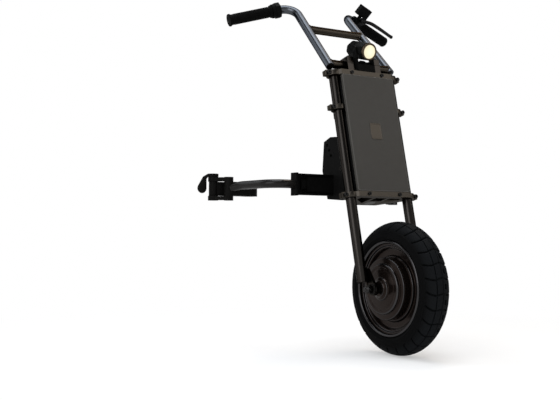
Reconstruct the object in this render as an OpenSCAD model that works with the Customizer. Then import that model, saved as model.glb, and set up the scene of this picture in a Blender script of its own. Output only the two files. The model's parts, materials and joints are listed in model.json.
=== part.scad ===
// Front drive unit that docks to a wheelchair: hub-motor wheel, fork with a battery, handlebar and dock

/* [Wheel] */
// Outside diameter of the tyre
tyre_d = 320; // [310:2:340]
// Width of the tyre
tyre_w = 76; // [70:1:82]
// Thickness of the tyre's wall and tread
tyre_wall = 12; // [8:1:14]
// Number of tread blocks round the tyre
tread_count = 34; // [24:2:40]
// Depth of the tread grooves
tread_depth = 4; // [2:0.5:5]
// Width of the tread grooves
tread_gap = 3.4; // [2:0.2:4]
// Half width of the middle tread row
tread_mid = 13; // [9:1:16]
// Diameter of the rim's bead seat
rim_d = 222; // [214:2:226]
// Width of the rim over its lips
rim_w = 64; // [58:1:66]
// Height of a rim lip over the bead seat
lip_h = 5; // [4:0.5:7]
// Thickness of a rim lip
lip_t = 3; // [2:0.5:5]
// Diameter where the rim's cone meets the web
cone_d = 184; // [170:2:190]
// Width of the web between drum and rim
web_w = 28; // [16:2:36]

/* [Hub motor] */
// Outside diameter of the motor drum
drum_d = 148; // [140:2:156]
// Thickness of the drum's wall
drum_wall = 6; // [5:0.5:8]
// Width of the drum
drum_w = 80; // [70:1:84]
// Thickness of a hub cover's flange
flange_t = 4; // [3:0.5:6]
// Diameter of a hub cover's raised middle
cover_d = 120; // [106:2:126]
// Height of the raised middle over the drum
cover_h = 12; // [11:0.5:14]
// Diameter of the boss ring on a hub cover
boss_d = 56; // [48:2:64]
// Height of the boss ring
boss_h = 5; // [3:0.5:6]
// Diameter of the hub cover's nose
nose_d = 36; // [30:1:42]
// Height of the nose
nose_h = 3; // [2:0.5:5]
// Outside diameter of a hub bearing
hub_bearing_d = 35; // [32:0.5:36]
// Width of a hub bearing
hub_bearing_w = 10; // [8:0.5:11]
// Width of the stator and the magnets
stator_w = 36; // [26:1:44]
// Thickness of the magnet ring
magnet_t = 4.5; // [3:0.5:6]
// Number of slots in the stator
slot_count = 18; // [9:3:27]
// Width of a stator slot
slot_w = 6; // [4:0.5:8]
// Depth of a stator slot
slot_depth = 20; // [10:1:24]

/* [Axle] */
// Diameter of the axle inside the hub
axle_d = 15; // [14:0.5:17]
// Diameter of the axle's threaded ends
thread_d = 12; // [10:0.5:13]
// Length of the threaded end outside the nut
axle_stub = 12; // [6:1:16]
// Distance from a hub cover's nose to the dropout, which a spacer fills
spacer_run = 10.5; // [8:0.5:18]
// Outside diameter of a spacer on the axle
spacer_d = 22; // [18:1:26]
// Width of an axle nut over its corners
nut_d = 22; // [20:0.5:26]
// Height of an axle nut
nut_h = 11; // [8:0.5:14]
// Diameter of an axle washer
washer_d = 26; // [22:1:28]
// Thickness of an axle washer
washer_t = 2; // [1:0.5:3]

/* [Fork] */
// Lean of the fork back from upright
fork_lean = 13.46; // [10:0.1:16]
// Distance of the axle ahead of the fork tubes
axle_lead = 21.5; // [18:0.5:24]
// Room between the battery case and a fork tube
fork_room = 6.5; // [6:0.5:10]
// Diameter of a fork tube
fork_d = 25.5; // [20:0.5:28]
// Wall of a fork tube
fork_wall = 2.5; // [1.5:0.25:3.5]
// Height of a fork tube's lower end over the axle
fork_foot = 20; // [18:1:24]
// Height of the lower yoke's underside over the axle
yoke_z = 227; // [222:1:240]
// Thickness of the lower and the top yoke
yoke_t = 13; // [10:1:16]
// Thickness of the middle yoke
mid_t = 12; // [10:1:14]
// Height of the middle yoke over the lower yoke
mid_rise = 212; // [206:1:218]
// Wall of the yokes' clamp rings round the tubes
ring_wall = 6; // [5:0.5:7]
// Reach of a clamp lug beyond its tube's centre
lug_reach = 27.5; // [24:0.5:30]
// Width of a clamp lug
lug_w = 16; // [14:1:20]
// Width of the slit in a clamp lug
slit_w = 2; // [1:0.5:3]
// Reach of the yokes' front bars ahead of the tubes
bar_lead = 24; // [22:0.5:28]
// Thickness of a dropout plate
dropout_t = 8; // [6:0.5:10]
// Radius of a dropout's axle boss
dropout_r = 15; // [13:0.5:17]
// Height of a dropout plate over the axle
dropout_h = 52; // [44:1:60]

/* [Steering head] */
// Distance of the steerer behind the fork tubes
steerer_back = 40; // [40:0.5:44]
// Diameter of the steerer
steerer_d = 28.6; // [25:0.2:30]
// Wall of the steerer
steerer_wall = 3; // [2:0.5:5]
// Outside diameter of the head tube
head_d = 44; // [42:1:46]
// Inside diameter of the head tube
head_bore = 32; // [31:0.5:33]
// Outside diameter of a headset bearing
bearing_d = 38; // [36:0.5:39]
// Height of a headset bearing
bearing_h = 10; // [8:0.5:14]
// Height of the race between a yoke and its bearing
race_h = 6; // [5:0.5:8]
// Diameter of the races
race_d = 36; // [33:0.5:37]

/* [Battery] */
// Width of the battery case
case_w = 136; // [135.5:0.5:143.5]
// Depth of the battery case
case_depth = 29.6; // [28:0.2:31]
// Distance of the case's back behind the fork tubes
case_back = 12; // [11:0.5:13]
// Wall of the battery case
case_wall = 2.25; // [2:0.25:3.5]
// Height of the case between the lower and the top yoke
case_h = 302; // [296:1:320]
// Reach of the front cover beyond each side of the case
panel_lap = 12; // [6:0.5:14]
// Thickness of the front cover
cover_panel_t = 8; // [6:0.5:9]
// Bevel round the front cover
cover_bevel = 4; // [2:0.5:5]
// Width of the plain plaque on the cover
plaque_w = 34; // [26:1:44]
// Height of the plaque
plaque_h = 42; // [30:1:52]
// Thickness of the plaque
plaque_t = 1; // [0.6:0.1:1.5]
// Height of the plaque's middle over the case's foot
plaque_rise = 155; // [130:1:180]
// Diameter of a battery cell
cell_d = 18.4; // [17:0.2:18.6]
// Length of a battery cell
cell_l = 65; // [60:0.5:66]
// Room over the motor controller in the case
controller_room = 11; // [8:1:14]
// Height of the battery board
board_h = 30; // [20:1:32]
// Height of the motor controller
controller_h = 62; // [50:1:62]
// Depth of the motor controller
controller_depth = 20; // [16:1:22]
// Room at each side of the board and the controller in the case
electronics_room = 8.5; // [1:0.5:16]
// Distance of the charge socket and the power button from the case's sides
fitting_edge = 31.5; // [22:0.5:40]
// Diameter of the charge socket
socket_d = 22; // [18:1:26]
// Depth of the charge socket's rim
socket_rim = 9; // [7:0.5:12]
// Height of the collar round the power button
collar_h = 4; // [3:0.5:6]
// Diameter of the power button
button_d = 14; // [10:0.5:18]
// Travel of the power button
button_travel = 1.5; // [1:0.1:2]

/* [Handlebar] */
// Diameter of the handlebar tube
bar_d = 22.2; // [21:0.2:24]
// Wall of the handlebar tube
bar_wall = 2.5; // [1.5:0.25:3.5]
// Height of the cross tube over the top yoke
bar_rise = 23; // [21:0.5:26]
// Distance of the cross tube behind the fork tubes
bar_back = 5; // [2:0.5:8]
// Half distance between the uprights' feet
bar_foot = 94.7; // [90:0.5:100]
// Rise of an upright from its foot to its top corner
upright_rise = 219; // [200:1:235]
// Run of an upright back from its foot to its top corner
upright_run = 136; // [110:1:142]
// Half distance between the uprights' top corners
bar_top = 82; // [70:0.5:86]
// Radius of the bend from upright to grip
bar_bend = 38; // [34:1:47]
// Length of a bar end from the top corner
bar_end = 185; // [180:1:202]
// Run back of a bar end
end_run = 51; // [45:1:70]
// Drop of a bar end
end_drop = 39; // [30:1:46]
// Half distance between the bar ends
bar_tip = 256; // [250:1:262]
// Diameter of the brace between the uprights
brace_d = 21; // [15:0.5:22]
// Distance of the brace up an upright
brace_up = 153; // [140:1:160]
// Distance of a riser from the middle
riser_x = 41; // [39:0.5:50]
// Width of a riser
riser_w = 20; // [16:1:22]
// Depth of a riser
riser_depth = 44; // [42:1:50]
// Thickness of a riser cap over the bar
riser_cap = 6; // [4:0.5:8]

/* [Controls] */
// Diameter of a grip
grip_d = 29; // [27:0.5:32]
// Diameter of a grip's end flange
flange_d = 33; // [31:0.5:36]
// Thickness of a grip's end flange
grip_flange_t = 4; // [3:0.5:6]
// Distance of the controls from the bar's top corner
control_start = 42; // [41.5:0.5:56]
// Width of the throttle housing
throttle_w = 23; // [18:1:24]
// Width of the throttle housing over its corners
throttle_d = 43; // [38:1:46]
// Width of the brake perch on the bar
perch_w = 22; // [18:1:23]
// Wall of the brake perch round the bar
perch_wall = 5; // [4:0.5:7]
// Distance of the brake lever's pivot from the bar
pivot_reach = 31; // [29:0.5:34]
// Diameter of the brake lever's pivot pin
pivot_d = 5; // [4:0.5:6]
// Thickness of the brake lever
lever_t = 8; // [6:0.5:10]
// Length of the brake lever past its pivot
lever_l = 110; // [100:1:122]
// Distance of the brake lever's blade from the bar
lever_reach = 45; // [43:0.5:50]
// Width of the display
display_w = 42; // [34:1:50]
// Height of the display
display_h = 28; // [24:1:36]
// Thickness of the display
display_t = 13; // [10:0.5:16]
// Distance of the display from the bar
display_rise = 38; // [36:0.5:46]
// Tilt of the display's neck up from straight ahead
display_tilt = 52; // [46:1:60]

/* [Lamp] */
// Width of the lamp body over its flats
lamp_d = 44; // [38:1:44]
// Length of the lamp body
lamp_l = 78; // [66:1:84]
// Height of the lamp's pivot over the top yoke
lamp_rise = 59; // [57:0.5:66]
// Distance of the lamp's pivot ahead of the fork tubes
lamp_lead = 18; // [16:0.5:22]
// Distance of the lens ahead of the lamp's pivot
lamp_front = 33.5; // [30:0.5:36]
// Tilt of the lamp down from square to the fork
lamp_tilt = 28; // [20:1:30]
// Diameter of the lens
lens_d = 34; // [28:1:36]
// Thickness of the lens
lens_t = 3; // [2:0.5:4]
// Diameter of the lamp's pivot pins
lamp_pin_d = 8; // [6:0.5:10]
// Thickness of a bracket arm
arm_t = 4; // [3:0.5:5]

/* [Docking frame] */
// Half distance between the frame tubes that the dock grips
dock_x = 201; // [194:1:206]
// Distance of the gripped tubes behind the axle
dock_y = 373; // [366:1:376]
// Height of the dock over the ground
dock_z = 404; // [396:1:412]
// Diameter of the gripped tubes
dock_tube_d = 32; // [28:0.5:34]
// Wall of the saddle and jaw round the gripped tube
saddle_wall = 7; // [5:0.5:9]
// Height of the saddle's seat
saddle_h = 36; // [30:1:40]
// Distance of the jaw's pivot outside the gripped tube
pivot_out = 96; // [92:1:104]
// Distance of the jaw's pivot behind the gripped tube
pivot_behind = 17; // [14:0.5:20]
// Radius of the saddle's ears round the pivot
ear_r = 13; // [12:0.5:15]
// Thickness of the saddle's ears
ear_t = 12; // [9:0.5:14]
// Diameter of the jaw's pivot pin
jaw_pin_d = 10; // [8:0.5:12]
// Distance of the saddle's post from the pivot, inwards
post_in = 32; // [31:0.5:36]
// Distance of the saddle's post ahead of the pivot
post_ahead = 26; // [25:0.5:30]
// Drop of the clamp lever's paddle below its cap
paddle_l = 30; // [26:1:36]
// Depth of the cross beam from front to back
beam_depth = 22; // [20:1:30]
// Height of the cross beam
beam_h = 54; // [48:1:58]
// Wall of the cross beam
beam_wall = 4; // [3:0.5:6]
// Half length of the cross beam
beam_half = 151; // [140:1:156]
// Distance of the cross beam behind the axle
beam_y = 222; // [218:0.5:230]
// Height of the cross beam over the ground
beam_z = 414; // [410:1:420]
// Thickness of the beam's end caps
cap_t = 6; // [5:0.5:10]
// Diameter of a docking arm
dock_arm_d = 22; // [20:0.5:24]
// Wall of a docking arm
dock_arm_wall = 3; // [2:0.5:4]
// Radius of a docking arm's bends
dock_bend = 50; // [40:1:54]
// Distance of a docking arm's first corner outside the beam
arm_out = 67; // [62:1:72]
// Thickness of a side plate
plate_t = 8; // [6:0.5:10]
// Distance between the side plates
plate_gap = 68; // [66:1:72]

/* [Clearances] */
// Running clearance round a pin or shaft that turns
run_gap = 0.06; // [0.02:0.01:0.1]
// Clearance round a fixed pin, tube or plug
fit_gap = 0.05; // [0.02:0.01:0.1]
// Clearance between faces that move past each other
move_gap = 0.4; // [0.3:0.1:0.8]

/* [Hidden] */
$fn = 64;
// Overshoot of a cut past the face it opens
cut = 1;
// Least thickness of a wall or overlap between joined shapes
wall_min = 2;
// Length by which a rod runs into a bend, and the bend's extra radius there
bend_lap = 1.5;
bend_swell = 0.2;

// Places on the ground line: the wheel touches at the origin before the whole is centred
jaw_pivot = [-dock_x - pivot_out, dock_y + pivot_behind];
seat = [-dock_x, dock_y];
post = [jaw_pivot.x + post_in, jaw_pivot.y - post_ahead];
lever_cap_r = ear_r + 1;
mid_y = (jaw_pivot.y + lever_cap_r - tyre_d / 2) / 2;
axle_z = tyre_d / 2;

// Wheel radii and widths
tyre_r = tyre_d / 2;
bead_r = rim_d / 2;
rim_half = rim_w / 2;
drum_half = drum_w / 2;
drum_in_r = drum_d / 2 - drum_wall;
cover_face = drum_half + cover_h;
nose_face = cover_face + boss_h + nose_h;
stator_r = drum_in_r - magnet_t - 2 * move_gap;
groove_w = tyre_w / 4;
groove_tilt = 38;
groove_r = tyre_r - groove_w - tread_depth;
shaft_gap = 1.5;

// Fork heights and radii over the axle
dropout_set = 4.5;
fork_span = 2 * max(case_w / 2 + fork_room, nose_face + spacer_run + dropout_set) + fork_d;
fork_half = fork_span / 2;
yoke_corner = 9;
yoke_tail = 20;
web_half = 32;
mid_web_half = 60;
pocket = [34, 28, 8];
fork_r = fork_d / 2;
ring_r = fork_r + ring_wall;
yoke_top = yoke_z + yoke_t;
top_z = yoke_top + case_h;
fork_top = top_z + yoke_t;
mid_z = yoke_top + mid_rise;
dropout_in = fork_half - fork_r - dropout_set;
dropout_out = dropout_in + dropout_t;
bolt_d = 6;
bolt_head_d = 10;
bolt_head_h = 6;
bolt_edge = 7;
bolt_x = fork_half + lug_reach - bolt_edge;
head_low = yoke_top + race_h;
head_top = mid_z - race_h;
screw_x = 47;
screw_d = 5;
screw_l = 12;
screw_room = 3;
screw_head_d = 9;
screw_head_h = 3;
riser_screw_y = riser_depth / 2 - 6;

// Battery places
case_front = case_back - case_depth;
cell_z = yoke_top + case_wall + cell_d / 2 + fit_gap;
cell_pitch = cell_d + move_gap;
controller_z = top_z - case_wall - controller_room - controller_h;
board_z = controller_z - case_wall - board_h;
cell_rows = floor((board_z - yoke_top - case_wall) / cell_pitch);
electronics_w = case_w - 2 * case_wall - 2 * electronics_room;
rear_fitting_x = case_w / 2 - fitting_edge;
cover_panel_w = case_w + 2 * panel_lap;
board_t = 1.6;
chip = [12, 4];
chip_pitch = electronics_w / 6;
fin = 3;
fin_depth = 5;
contact_r = 1.5;
fitting_z = (mid_z + mid_t + top_z) / 2;
socket_step = 2;

// Handlebar directions, from the foot of the left upright
bar_r = bar_d / 2;
bar_z = fork_top + bar_rise;
foot_p = [bar_foot, bar_back, bar_z];
corner_p = [bar_top, bar_back + upright_run, bar_z + upright_rise];
tip_p = [bar_tip, corner_p.y + end_run, corner_p.z - end_drop];
up_dir = unit(corner_p - foot_p);
end_dir = unit(tip_p - corner_p);
ahead_dir = unit([0, -1, -0.2] - ([0, -1, -0.2] * end_dir) * end_dir);
grip_start = control_start + throttle_w + move_gap;
grip_r = grip_d / 2;
grip_end = 2;
grip_round = 5;
pivot_x = control_start + perch_w / 2;
perch_ear = 4;
lever_hub = 3;
lever_elbow = 22;
blade_half = 3;
screen_edge = 3;
screen_foot = 8;
screen_t = 1.2;
press_y = -display_h / 2 + 4.2;
press_r = 2.6;
press_h = 4;
press_proud = 1.5;
neck_r = 5;
throttle_share = 0.6;
throttle_neck = 0.86;

// Lamp places
lamp_p = [0, -lamp_lead, fork_top + lamp_rise];
lens_depth = 20;
bezel_h = 5;
lamp_tail = 8;
lamp_taper = 0.82;
// Swing of the lamp down from rest, which the bracket clears
lamp_swing = 15;
lamp_dip = lamp_tilt + lamp_swing;
stem = [16, 7];
stem_room = 1;
window_room = 4;
bracket_depth = 16;
lamp_inner = lamp_d / 2 + 2 * move_gap;
lens_proud = 1;

// Docking frame places
saddle_r = dock_tube_d / 2 + saddle_wall;
post_r = ear_r - 1;
jaw_hub_r = ear_r - 2;
// Gap between the saddle's and the jaw's halves round the gripped tube
jaw_split = 1;
// Place of a docking arm's last corner from the post: inwards, ahead and up
arm_drift = 19;
arm_tail = 28;
arm_lift = 8;
saddle_web = [
    [post.x, post.y - post_r + jaw_split], [seat.x, seat.y - saddle_r + jaw_split],
    [seat.x, seat.y - saddle_r + 2 * wall_min], [seat.x - saddle_r + wall_min, seat.y - jaw_split],
    [seat.x - saddle_r - jaw_split, seat.y - 2 * wall_min], [post.x, post.y + wall_min]
];
jaw_low = dock_z - saddle_h / 2;
jaw_high = dock_z + saddle_h / 2;
ear_low = jaw_low - move_gap - ear_t;
ear_high = jaw_high + move_gap;
arm_start = [-beam_half - cap_t / 2 - fit_gap, beam_y, beam_z];
arm_path = [
    arm_start,
    [-beam_half - arm_out, beam_y, beam_z],
    [post.x + arm_drift, post.y - arm_tail, dock_z + arm_lift],
    [post.x, post.y, dock_z]
];

function unit(v) = v / norm(v);
function side_of(d) = unit(cross(d, abs(d.z) < 0.9 ? [0, 0, 1] : [1, 0, 0]));

// Puts children at p with their x and y axes along two square directions
module aim(p, x_dir, y_dir) {
    z_dir = cross(x_dir, y_dir);
    multmatrix([
        [x_dir.x, y_dir.x, z_dir.x, p.x],
        [x_dir.y, y_dir.y, z_dir.y, p.y],
        [x_dir.z, y_dir.z, z_dir.z, p.z]
    ]) children();
}

module ground() {
    translate([0, -mid_y, 0]) children();
}

module steering() {
    translate([0, axle_lead * cos(fork_lean) - mid_y, axle_z - axle_lead * sin(fork_lean)])
        rotate([-fork_lean, 0, 0]) children();
}

module wheel() {
    translate([0, -mid_y, axle_z]) rotate([0, 90, 0]) children();
}

module both_sides() {
    children();
    mirror([1, 0, 0]) children();
}

// Round rod from p to q
module rod(p, q, r) {
    d = unit(q - p);
    aim(p, side_of(d), cross(d, side_of(d))) cylinder(h = norm(q - p), r = r);
}

// Ring segment at a corner, between the tangent points of its two straights
module bend(c, d1, d2, radius, r) {
    turn = acos(d1 * d2);
    inward = unit(d2 - (d1 * d2) * d1);
    start = c - d1 * radius * tan(turn / 2);
    aim(start + inward * radius, -inward, d1)
        rotate_extrude(angle = turn) translate([radius, 0]) circle(r = r);
}

// Round rod along a list of corners, each rounded to one radius; bends swell a hair so that rods run in
module bent_rod(path, radius, r) {
    last = len(path) - 1;
    dirs = [for (i = [0 : last - 1]) unit(path[i + 1] - path[i])];
    trim = [
        for (i = [0 : last])
            i == 0 || i == last ? 0 : radius * tan(acos(dirs[i - 1] * dirs[i]) / 2) - bend_lap
    ];
    for (i = [0 : last - 1])
        rod(path[i] + dirs[i] * trim[i], path[i + 1] - dirs[i] * trim[i + 1], r);
    for (i = [1 : last - 1])
        bend(path[i], dirs[i - 1], dirs[i], radius, r + bend_swell);
}

module pipe(h, r, wall) {
    difference() {
        cylinder(h = h, r = r);
        translate([0, 0, -cut]) cylinder(h = h + 2 * cut, r = r - wall);
    }
}

module ring(h, r_out, r_in) {
    pipe(h, r_out, r_out - r_in);
}

// Socket-head screw that stands on z = 0 with its shank below
module screw(d, shank, head_d, head_h) {
    difference() {
        union() {
            cylinder(h = head_h, d = head_d);
            translate([0, 0, -shank]) cylinder(h = shank + cut, d = d);
        }
        translate([0, 0, head_h / 2]) cylinder(h = head_h, d = head_d / 2, $fn = 6);
    }
}

// Wheel

module tyre_section() {
    centre = tyre_r - tyre_w / 2;
    bead_half = rim_half - lip_t - fit_gap;
    difference() {
        union() {
            intersection() {
                translate([centre, 0]) circle(d = tyre_w);
                translate([bead_r + lip_h + fit_gap, -tyre_w]) square([tyre_r, 2 * tyre_w]);
            }
            translate([bead_r + fit_gap, -bead_half]) square([tyre_w / 4, 2 * bead_half]);
        }
        translate([centre, 0]) circle(r = tyre_w / 2 - tyre_wall);
        for (s = [-1, 1])
            translate([tyre_r - tread_depth - tread_mid / 5, s * tread_mid - tread_gap / 4])
                square([tyre_r, tread_gap / 2]);
    }
}

module tyre() {
    color([0.09, 0.09, 0.09]) wheel() difference() {
        rotate_extrude($fn = 128) tyre_section();
        for (i = [0 : tread_count - 1], s = [-1, 1])
            rotate(360 / tread_count * (i + (s + 1) / 4))
                translate([groove_r, -tread_gap / 2, s > 0 ? tread_mid : -tread_mid - groove_w])
                    rotate([0, s * groove_tilt, 0]) translate([tread_depth, 0, -groove_w / 2])
                        cube([2 * groove_w, tread_gap, 2 * groove_w]);
    }
}

module hub_shell() {
    half = [
        [drum_in_r, drum_half], [drum_d / 2, drum_half], [drum_d / 2, web_w / 2], [cone_d / 2, web_w / 2],
        [bead_r - lip_t, rim_half], [bead_r + lip_h, rim_half], [bead_r + lip_h, rim_half - lip_t],
        [bead_r, rim_half - lip_t]
    ];
    mirrored = [for (i = [len(half) - 1 : -1 : 0]) [half[i].x, -half[i].y]];
    color([0.17, 0.14, 0.12]) wheel() rotate_extrude($fn = 128) polygon(concat(half, mirrored));
}

module hub_cover_section() {
    wall = flange_t;
    seat_r = hub_bearing_d / 2;
    polygon([
        [seat_r, drum_half + cut], [seat_r + wall, drum_half + cut], [seat_r + wall, cover_face - wall],
        [cover_d / 2 - wall, cover_face - wall], [cover_d / 2 - wall, drum_half], [drum_d / 2, drum_half],
        [drum_d / 2, drum_half + flange_t], [cover_d / 2, drum_half + flange_t], [cover_d / 2, cover_face],
        [boss_d / 2, cover_face], [boss_d / 2, cover_face + boss_h], [nose_d / 2, cover_face + boss_h],
        [nose_d / 2, nose_face], [axle_d / 2 + shaft_gap, nose_face],
        [axle_d / 2 + shaft_gap, drum_half + cut + hub_bearing_w], [seat_r, drum_half + cut + hub_bearing_w]
    ]);
}

module hub_covers() {
    color([0.16, 0.13, 0.11]) both_sides() wheel() rotate_extrude($fn = 128) hub_cover_section();
}

module magnet_ring() {
    color([0.55, 0.55, 0.57]) wheel() translate([0, 0, -stator_w / 2])
        ring(stator_w, drum_in_r - fit_gap, drum_in_r - magnet_t);
}

module hub_bearings() {
    color([0.75, 0.75, 0.77]) both_sides() wheel() translate([0, 0, drum_half + cut])
        ring(hub_bearing_w - fit_gap, hub_bearing_d / 2 - fit_gap, axle_d / 2);
}

module stator() {
    color([0.55, 0.33, 0.2]) wheel() difference() {
        translate([0, 0, -stator_w / 2]) ring(stator_w, stator_r, axle_d / 2);
        for (i = [0 : slot_count - 1])
            rotate(360 / slot_count * i)
                translate([stator_r - slot_depth, -slot_w / 2, -stator_w])
                    cube([2 * slot_depth, slot_w, 2 * stator_w]);
    }
}

nut_start = dropout_out + washer_t;
axle_half = nut_start + nut_h + axle_stub;

module axle() {
    shoulder = nose_face - nose_h;
    color([0.5, 0.5, 0.52]) wheel() union() {
        translate([0, 0, -shoulder]) cylinder(h = 2 * shoulder, r = axle_d / 2 - run_gap);
        translate([0, 0, -axle_half]) cylinder(h = 2 * axle_half, d = thread_d);
    }
}

module axle_nuts() {
    hole = thread_d / 2 + fit_gap;
    color([0.3, 0.3, 0.31]) both_sides() wheel() {
        translate([0, 0, nose_face + move_gap]) ring(dropout_in - nose_face - move_gap, spacer_d / 2, hole);
        translate([0, 0, dropout_out]) ring(washer_t, washer_d / 2, hole);
        translate([0, 0, nut_start]) difference() {
            cylinder(h = nut_h, d = nut_d, $fn = 6);
            translate([0, 0, -cut]) cylinder(h = nut_h + 2 * cut, r = hole);
        }
    }
}

// Fork and yokes

module dropout() {
    outline = [
        [-axle_lead - dropout_r + wall_min, 0], [-fork_r, dropout_h], [fork_r / 2, dropout_h],
        [fork_r / 2, fork_foot], [-axle_lead + dropout_r - wall_min, 0]
    ];
    difference() {
        union() {
            translate([dropout_in, 0, 0]) rotate([90, 0, 90]) linear_extrude(dropout_t) polygon(outline);
            translate([dropout_in, -axle_lead, 0]) rotate([0, 90, 0]) cylinder(h = dropout_t, r = dropout_r);
        }
        translate([dropout_in - cut, -axle_lead, 0]) rotate([0, 90, 0])
            cylinder(h = dropout_t + 2 * cut, r = thread_d / 2 + fit_gap);
        translate([fork_half, 0, -cut]) cylinder(h = dropout_h + 2 * cut, r = fork_r + fit_gap);
    }
}

module dropout_left() {
    color([0.2, 0.18, 0.17]) steering() dropout();
}

module dropout_right() {
    color([0.2, 0.18, 0.17]) steering() mirror([1, 0, 0]) dropout();
}

module fork_tube() {
    translate([fork_half, 0, fork_foot]) pipe(fork_top - fork_foot, fork_r, fork_wall);
}

module fork_tube_left() {
    color([0.24, 0.21, 0.19]) steering() fork_tube();
}

module fork_tube_right() {
    color([0.24, 0.21, 0.19]) steering() mirror([1, 0, 0]) fork_tube();
}

module clamp_rings() {
    for (s = [-1, 1]) scale([s, 1]) {
        translate([fork_half, 0]) circle(r = ring_r);
        translate([fork_half, -lug_w / 2]) square([lug_reach, lug_w]);
    }
}

module clamp_holes() {
    for (s = [-1, 1]) scale([s, 1]) {
        translate([fork_half, 0]) circle(r = fork_r + fit_gap);
        translate([fork_half, -slit_w / 2]) square([lug_reach + cut, slit_w]);
    }
}

// Holes across the lugs for the pinch bolts, at one height, with spot faces for the heads
module lug_bores(z) {
    for (s = [-1, 1]) translate([s * bolt_x, 0, z]) rotate([90, 0, 0]) {
        translate([0, 0, -lug_w]) cylinder(h = 2 * lug_w, r = bolt_d / 2 + fit_gap);
        translate([0, 0, lug_w / 2]) cylinder(h = lug_w, r = bolt_head_d / 2 + move_gap);
    }
}

// Holes in a front bar for its two screws
module bar_bores(z) {
    for (s = [-1, 1])
        translate([s * screw_x, -bar_lead - cut, z]) rotate([-90, 0, 0])
            cylinder(h = screw_l + screw_room + cut, r = screw_d / 2 + fit_gap);
}

module lower_yoke() {
    rear = steerer_back + yoke_tail;
    outer = fork_half + ring_wall * 2;
    web = [
        [-fork_half + yoke_corner, -bar_lead], [fork_half - yoke_corner, -bar_lead], [outer, ring_wall],
        [web_half, rear], [-web_half, rear], [-outer, ring_wall]
    ];
    inner = web_half - ring_wall;
    far = fork_half - ring_r - ring_wall;
    window = [[inner, -pocket.z], [far, -pocket.z], [far, pocket.z], [inner, steerer_back]];
    color([0.3, 0.26, 0.23]) steering() translate([0, 0, yoke_z]) difference() {
        linear_extrude(yoke_t) difference() {
            union() {
                polygon(web);
                clamp_rings();
            }
            clamp_holes();
            translate([0, steerer_back]) circle(r = steerer_d / 2 + fit_gap);
            for (s = [-1, 1]) scale([s, 1]) polygon(window);
        }
        translate([-pocket.x / 2, -pocket.z, -cut]) cube([pocket.x, pocket.y, pocket.z + cut]);
        lug_bores(yoke_t / 2);
        bar_bores(yoke_t / 2);
    }
}

module middle_yoke() {
    rear = steerer_back + yoke_tail;
    front = case_back + move_gap;
    inner = case_w / 2 + move_gap;
    outer = fork_half + ring_wall * 2;
    web = [
        [-outer, ring_wall], [-inner, ring_wall], [-inner, front], [inner, front], [inner, ring_wall],
        [outer, ring_wall], [mid_web_half, rear], [-mid_web_half, rear]
    ];
    color([0.3, 0.26, 0.23]) steering() translate([0, 0, mid_z]) difference() {
        union() {
            linear_extrude(mid_t) difference() {
                union() {
                    polygon(web);
                    clamp_rings();
                }
                clamp_holes();
            }
            translate([0, steerer_back, -race_h + move_gap]) cylinder(h = race_h, d = race_d);
        }
        translate([0, steerer_back, -race_h]) cylinder(h = race_h + mid_t + cut, r = steerer_d / 2 + fit_gap);
        lug_bores(mid_t / 2);
    }
}

module top_yoke() {
    outer = fork_half + ring_wall * 2;
    side = fork_half - yoke_corner;
    rear = bar_lead + 2 * wall_min;
    web = [
        [-side, -bar_lead], [side, -bar_lead], [outer, -ring_wall / 2], [side, rear], [-side, rear],
        [-outer, -ring_wall / 2]
    ];
    color([0.3, 0.26, 0.23]) steering() translate([0, 0, top_z]) difference() {
        linear_extrude(yoke_t) difference() {
            union() {
                polygon(web);
                clamp_rings();
            }
            clamp_holes();
        }
        lug_bores(yoke_t / 2);
        bar_bores(yoke_t / 2);
    }
}

module pinch_bolts() {
    color([0.12, 0.12, 0.12]) steering()
        for (z = [yoke_z + yoke_t / 2, mid_z + mid_t / 2, top_z + yoke_t / 2], s = [-1, 1])
            translate([s * bolt_x, -lug_w / 2, z]) rotate([90, 0, 0])
                screw(bolt_d, lug_w, bolt_head_d, bolt_head_h);
}

module socket_screws() {
    color([0.1, 0.1, 0.1]) steering() {
        for (z = [yoke_z + yoke_t / 2, top_z + yoke_t / 2], s = [-1, 1])
            translate([s * screw_x, -bar_lead, z]) rotate([90, 0, 0])
                screw(screw_d, screw_l, screw_head_d, screw_head_h);
        for (sx = [-1, 1], sy = [-1, 1])
            translate([sx * riser_x, bar_back + sy * riser_screw_y, bar_z + bar_r + riser_cap])
                screw(screw_d, bar_r + riser_cap + screw_l, screw_head_d, screw_head_h);
    }
}

module steerer() {
    top = mid_z + mid_t;
    color([0.45, 0.45, 0.47]) steering() translate([0, steerer_back, 0]) difference() {
        union() {
            translate([0, 0, yoke_z]) cylinder(h = top - yoke_z, r = steerer_d / 2);
            translate([0, 0, yoke_top]) cylinder(h = race_h - move_gap, d = race_d);
        }
        translate([0, 0, yoke_z + yoke_t]) cylinder(h = top, r = steerer_d / 2 - steerer_wall);
    }
}

// Battery

module battery_case() {
    inner_w = case_w - 2 * case_wall;
    color([0.13, 0.13, 0.13]) steering() difference() {
        union() {
            translate([-case_w / 2, case_front, yoke_top]) cube([case_w, case_depth, case_h]);
            translate([rear_fitting_x, case_back - cut, fitting_z]) rotate([-90, 0, 0])
                cylinder(h = collar_h + cut, d = button_d + 2 * case_wall);
        }
        translate([-inner_w / 2, case_front - cut, yoke_top + case_wall])
            cube([inner_w, case_depth - case_wall + cut, case_h - 2 * case_wall]);
        translate([rear_fitting_x, case_back - case_wall - cut, fitting_z]) rotate([-90, 0, 0])
            cylinder(h = case_wall + collar_h + 2 * cut, r = button_d / 2 + run_gap);
        translate([-rear_fitting_x, case_back - case_wall - cut, fitting_z]) rotate([-90, 0, 0])
            cylinder(h = case_wall + 2 * cut, r = socket_d / 2 - socket_step + fit_gap);
    }
}

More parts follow.
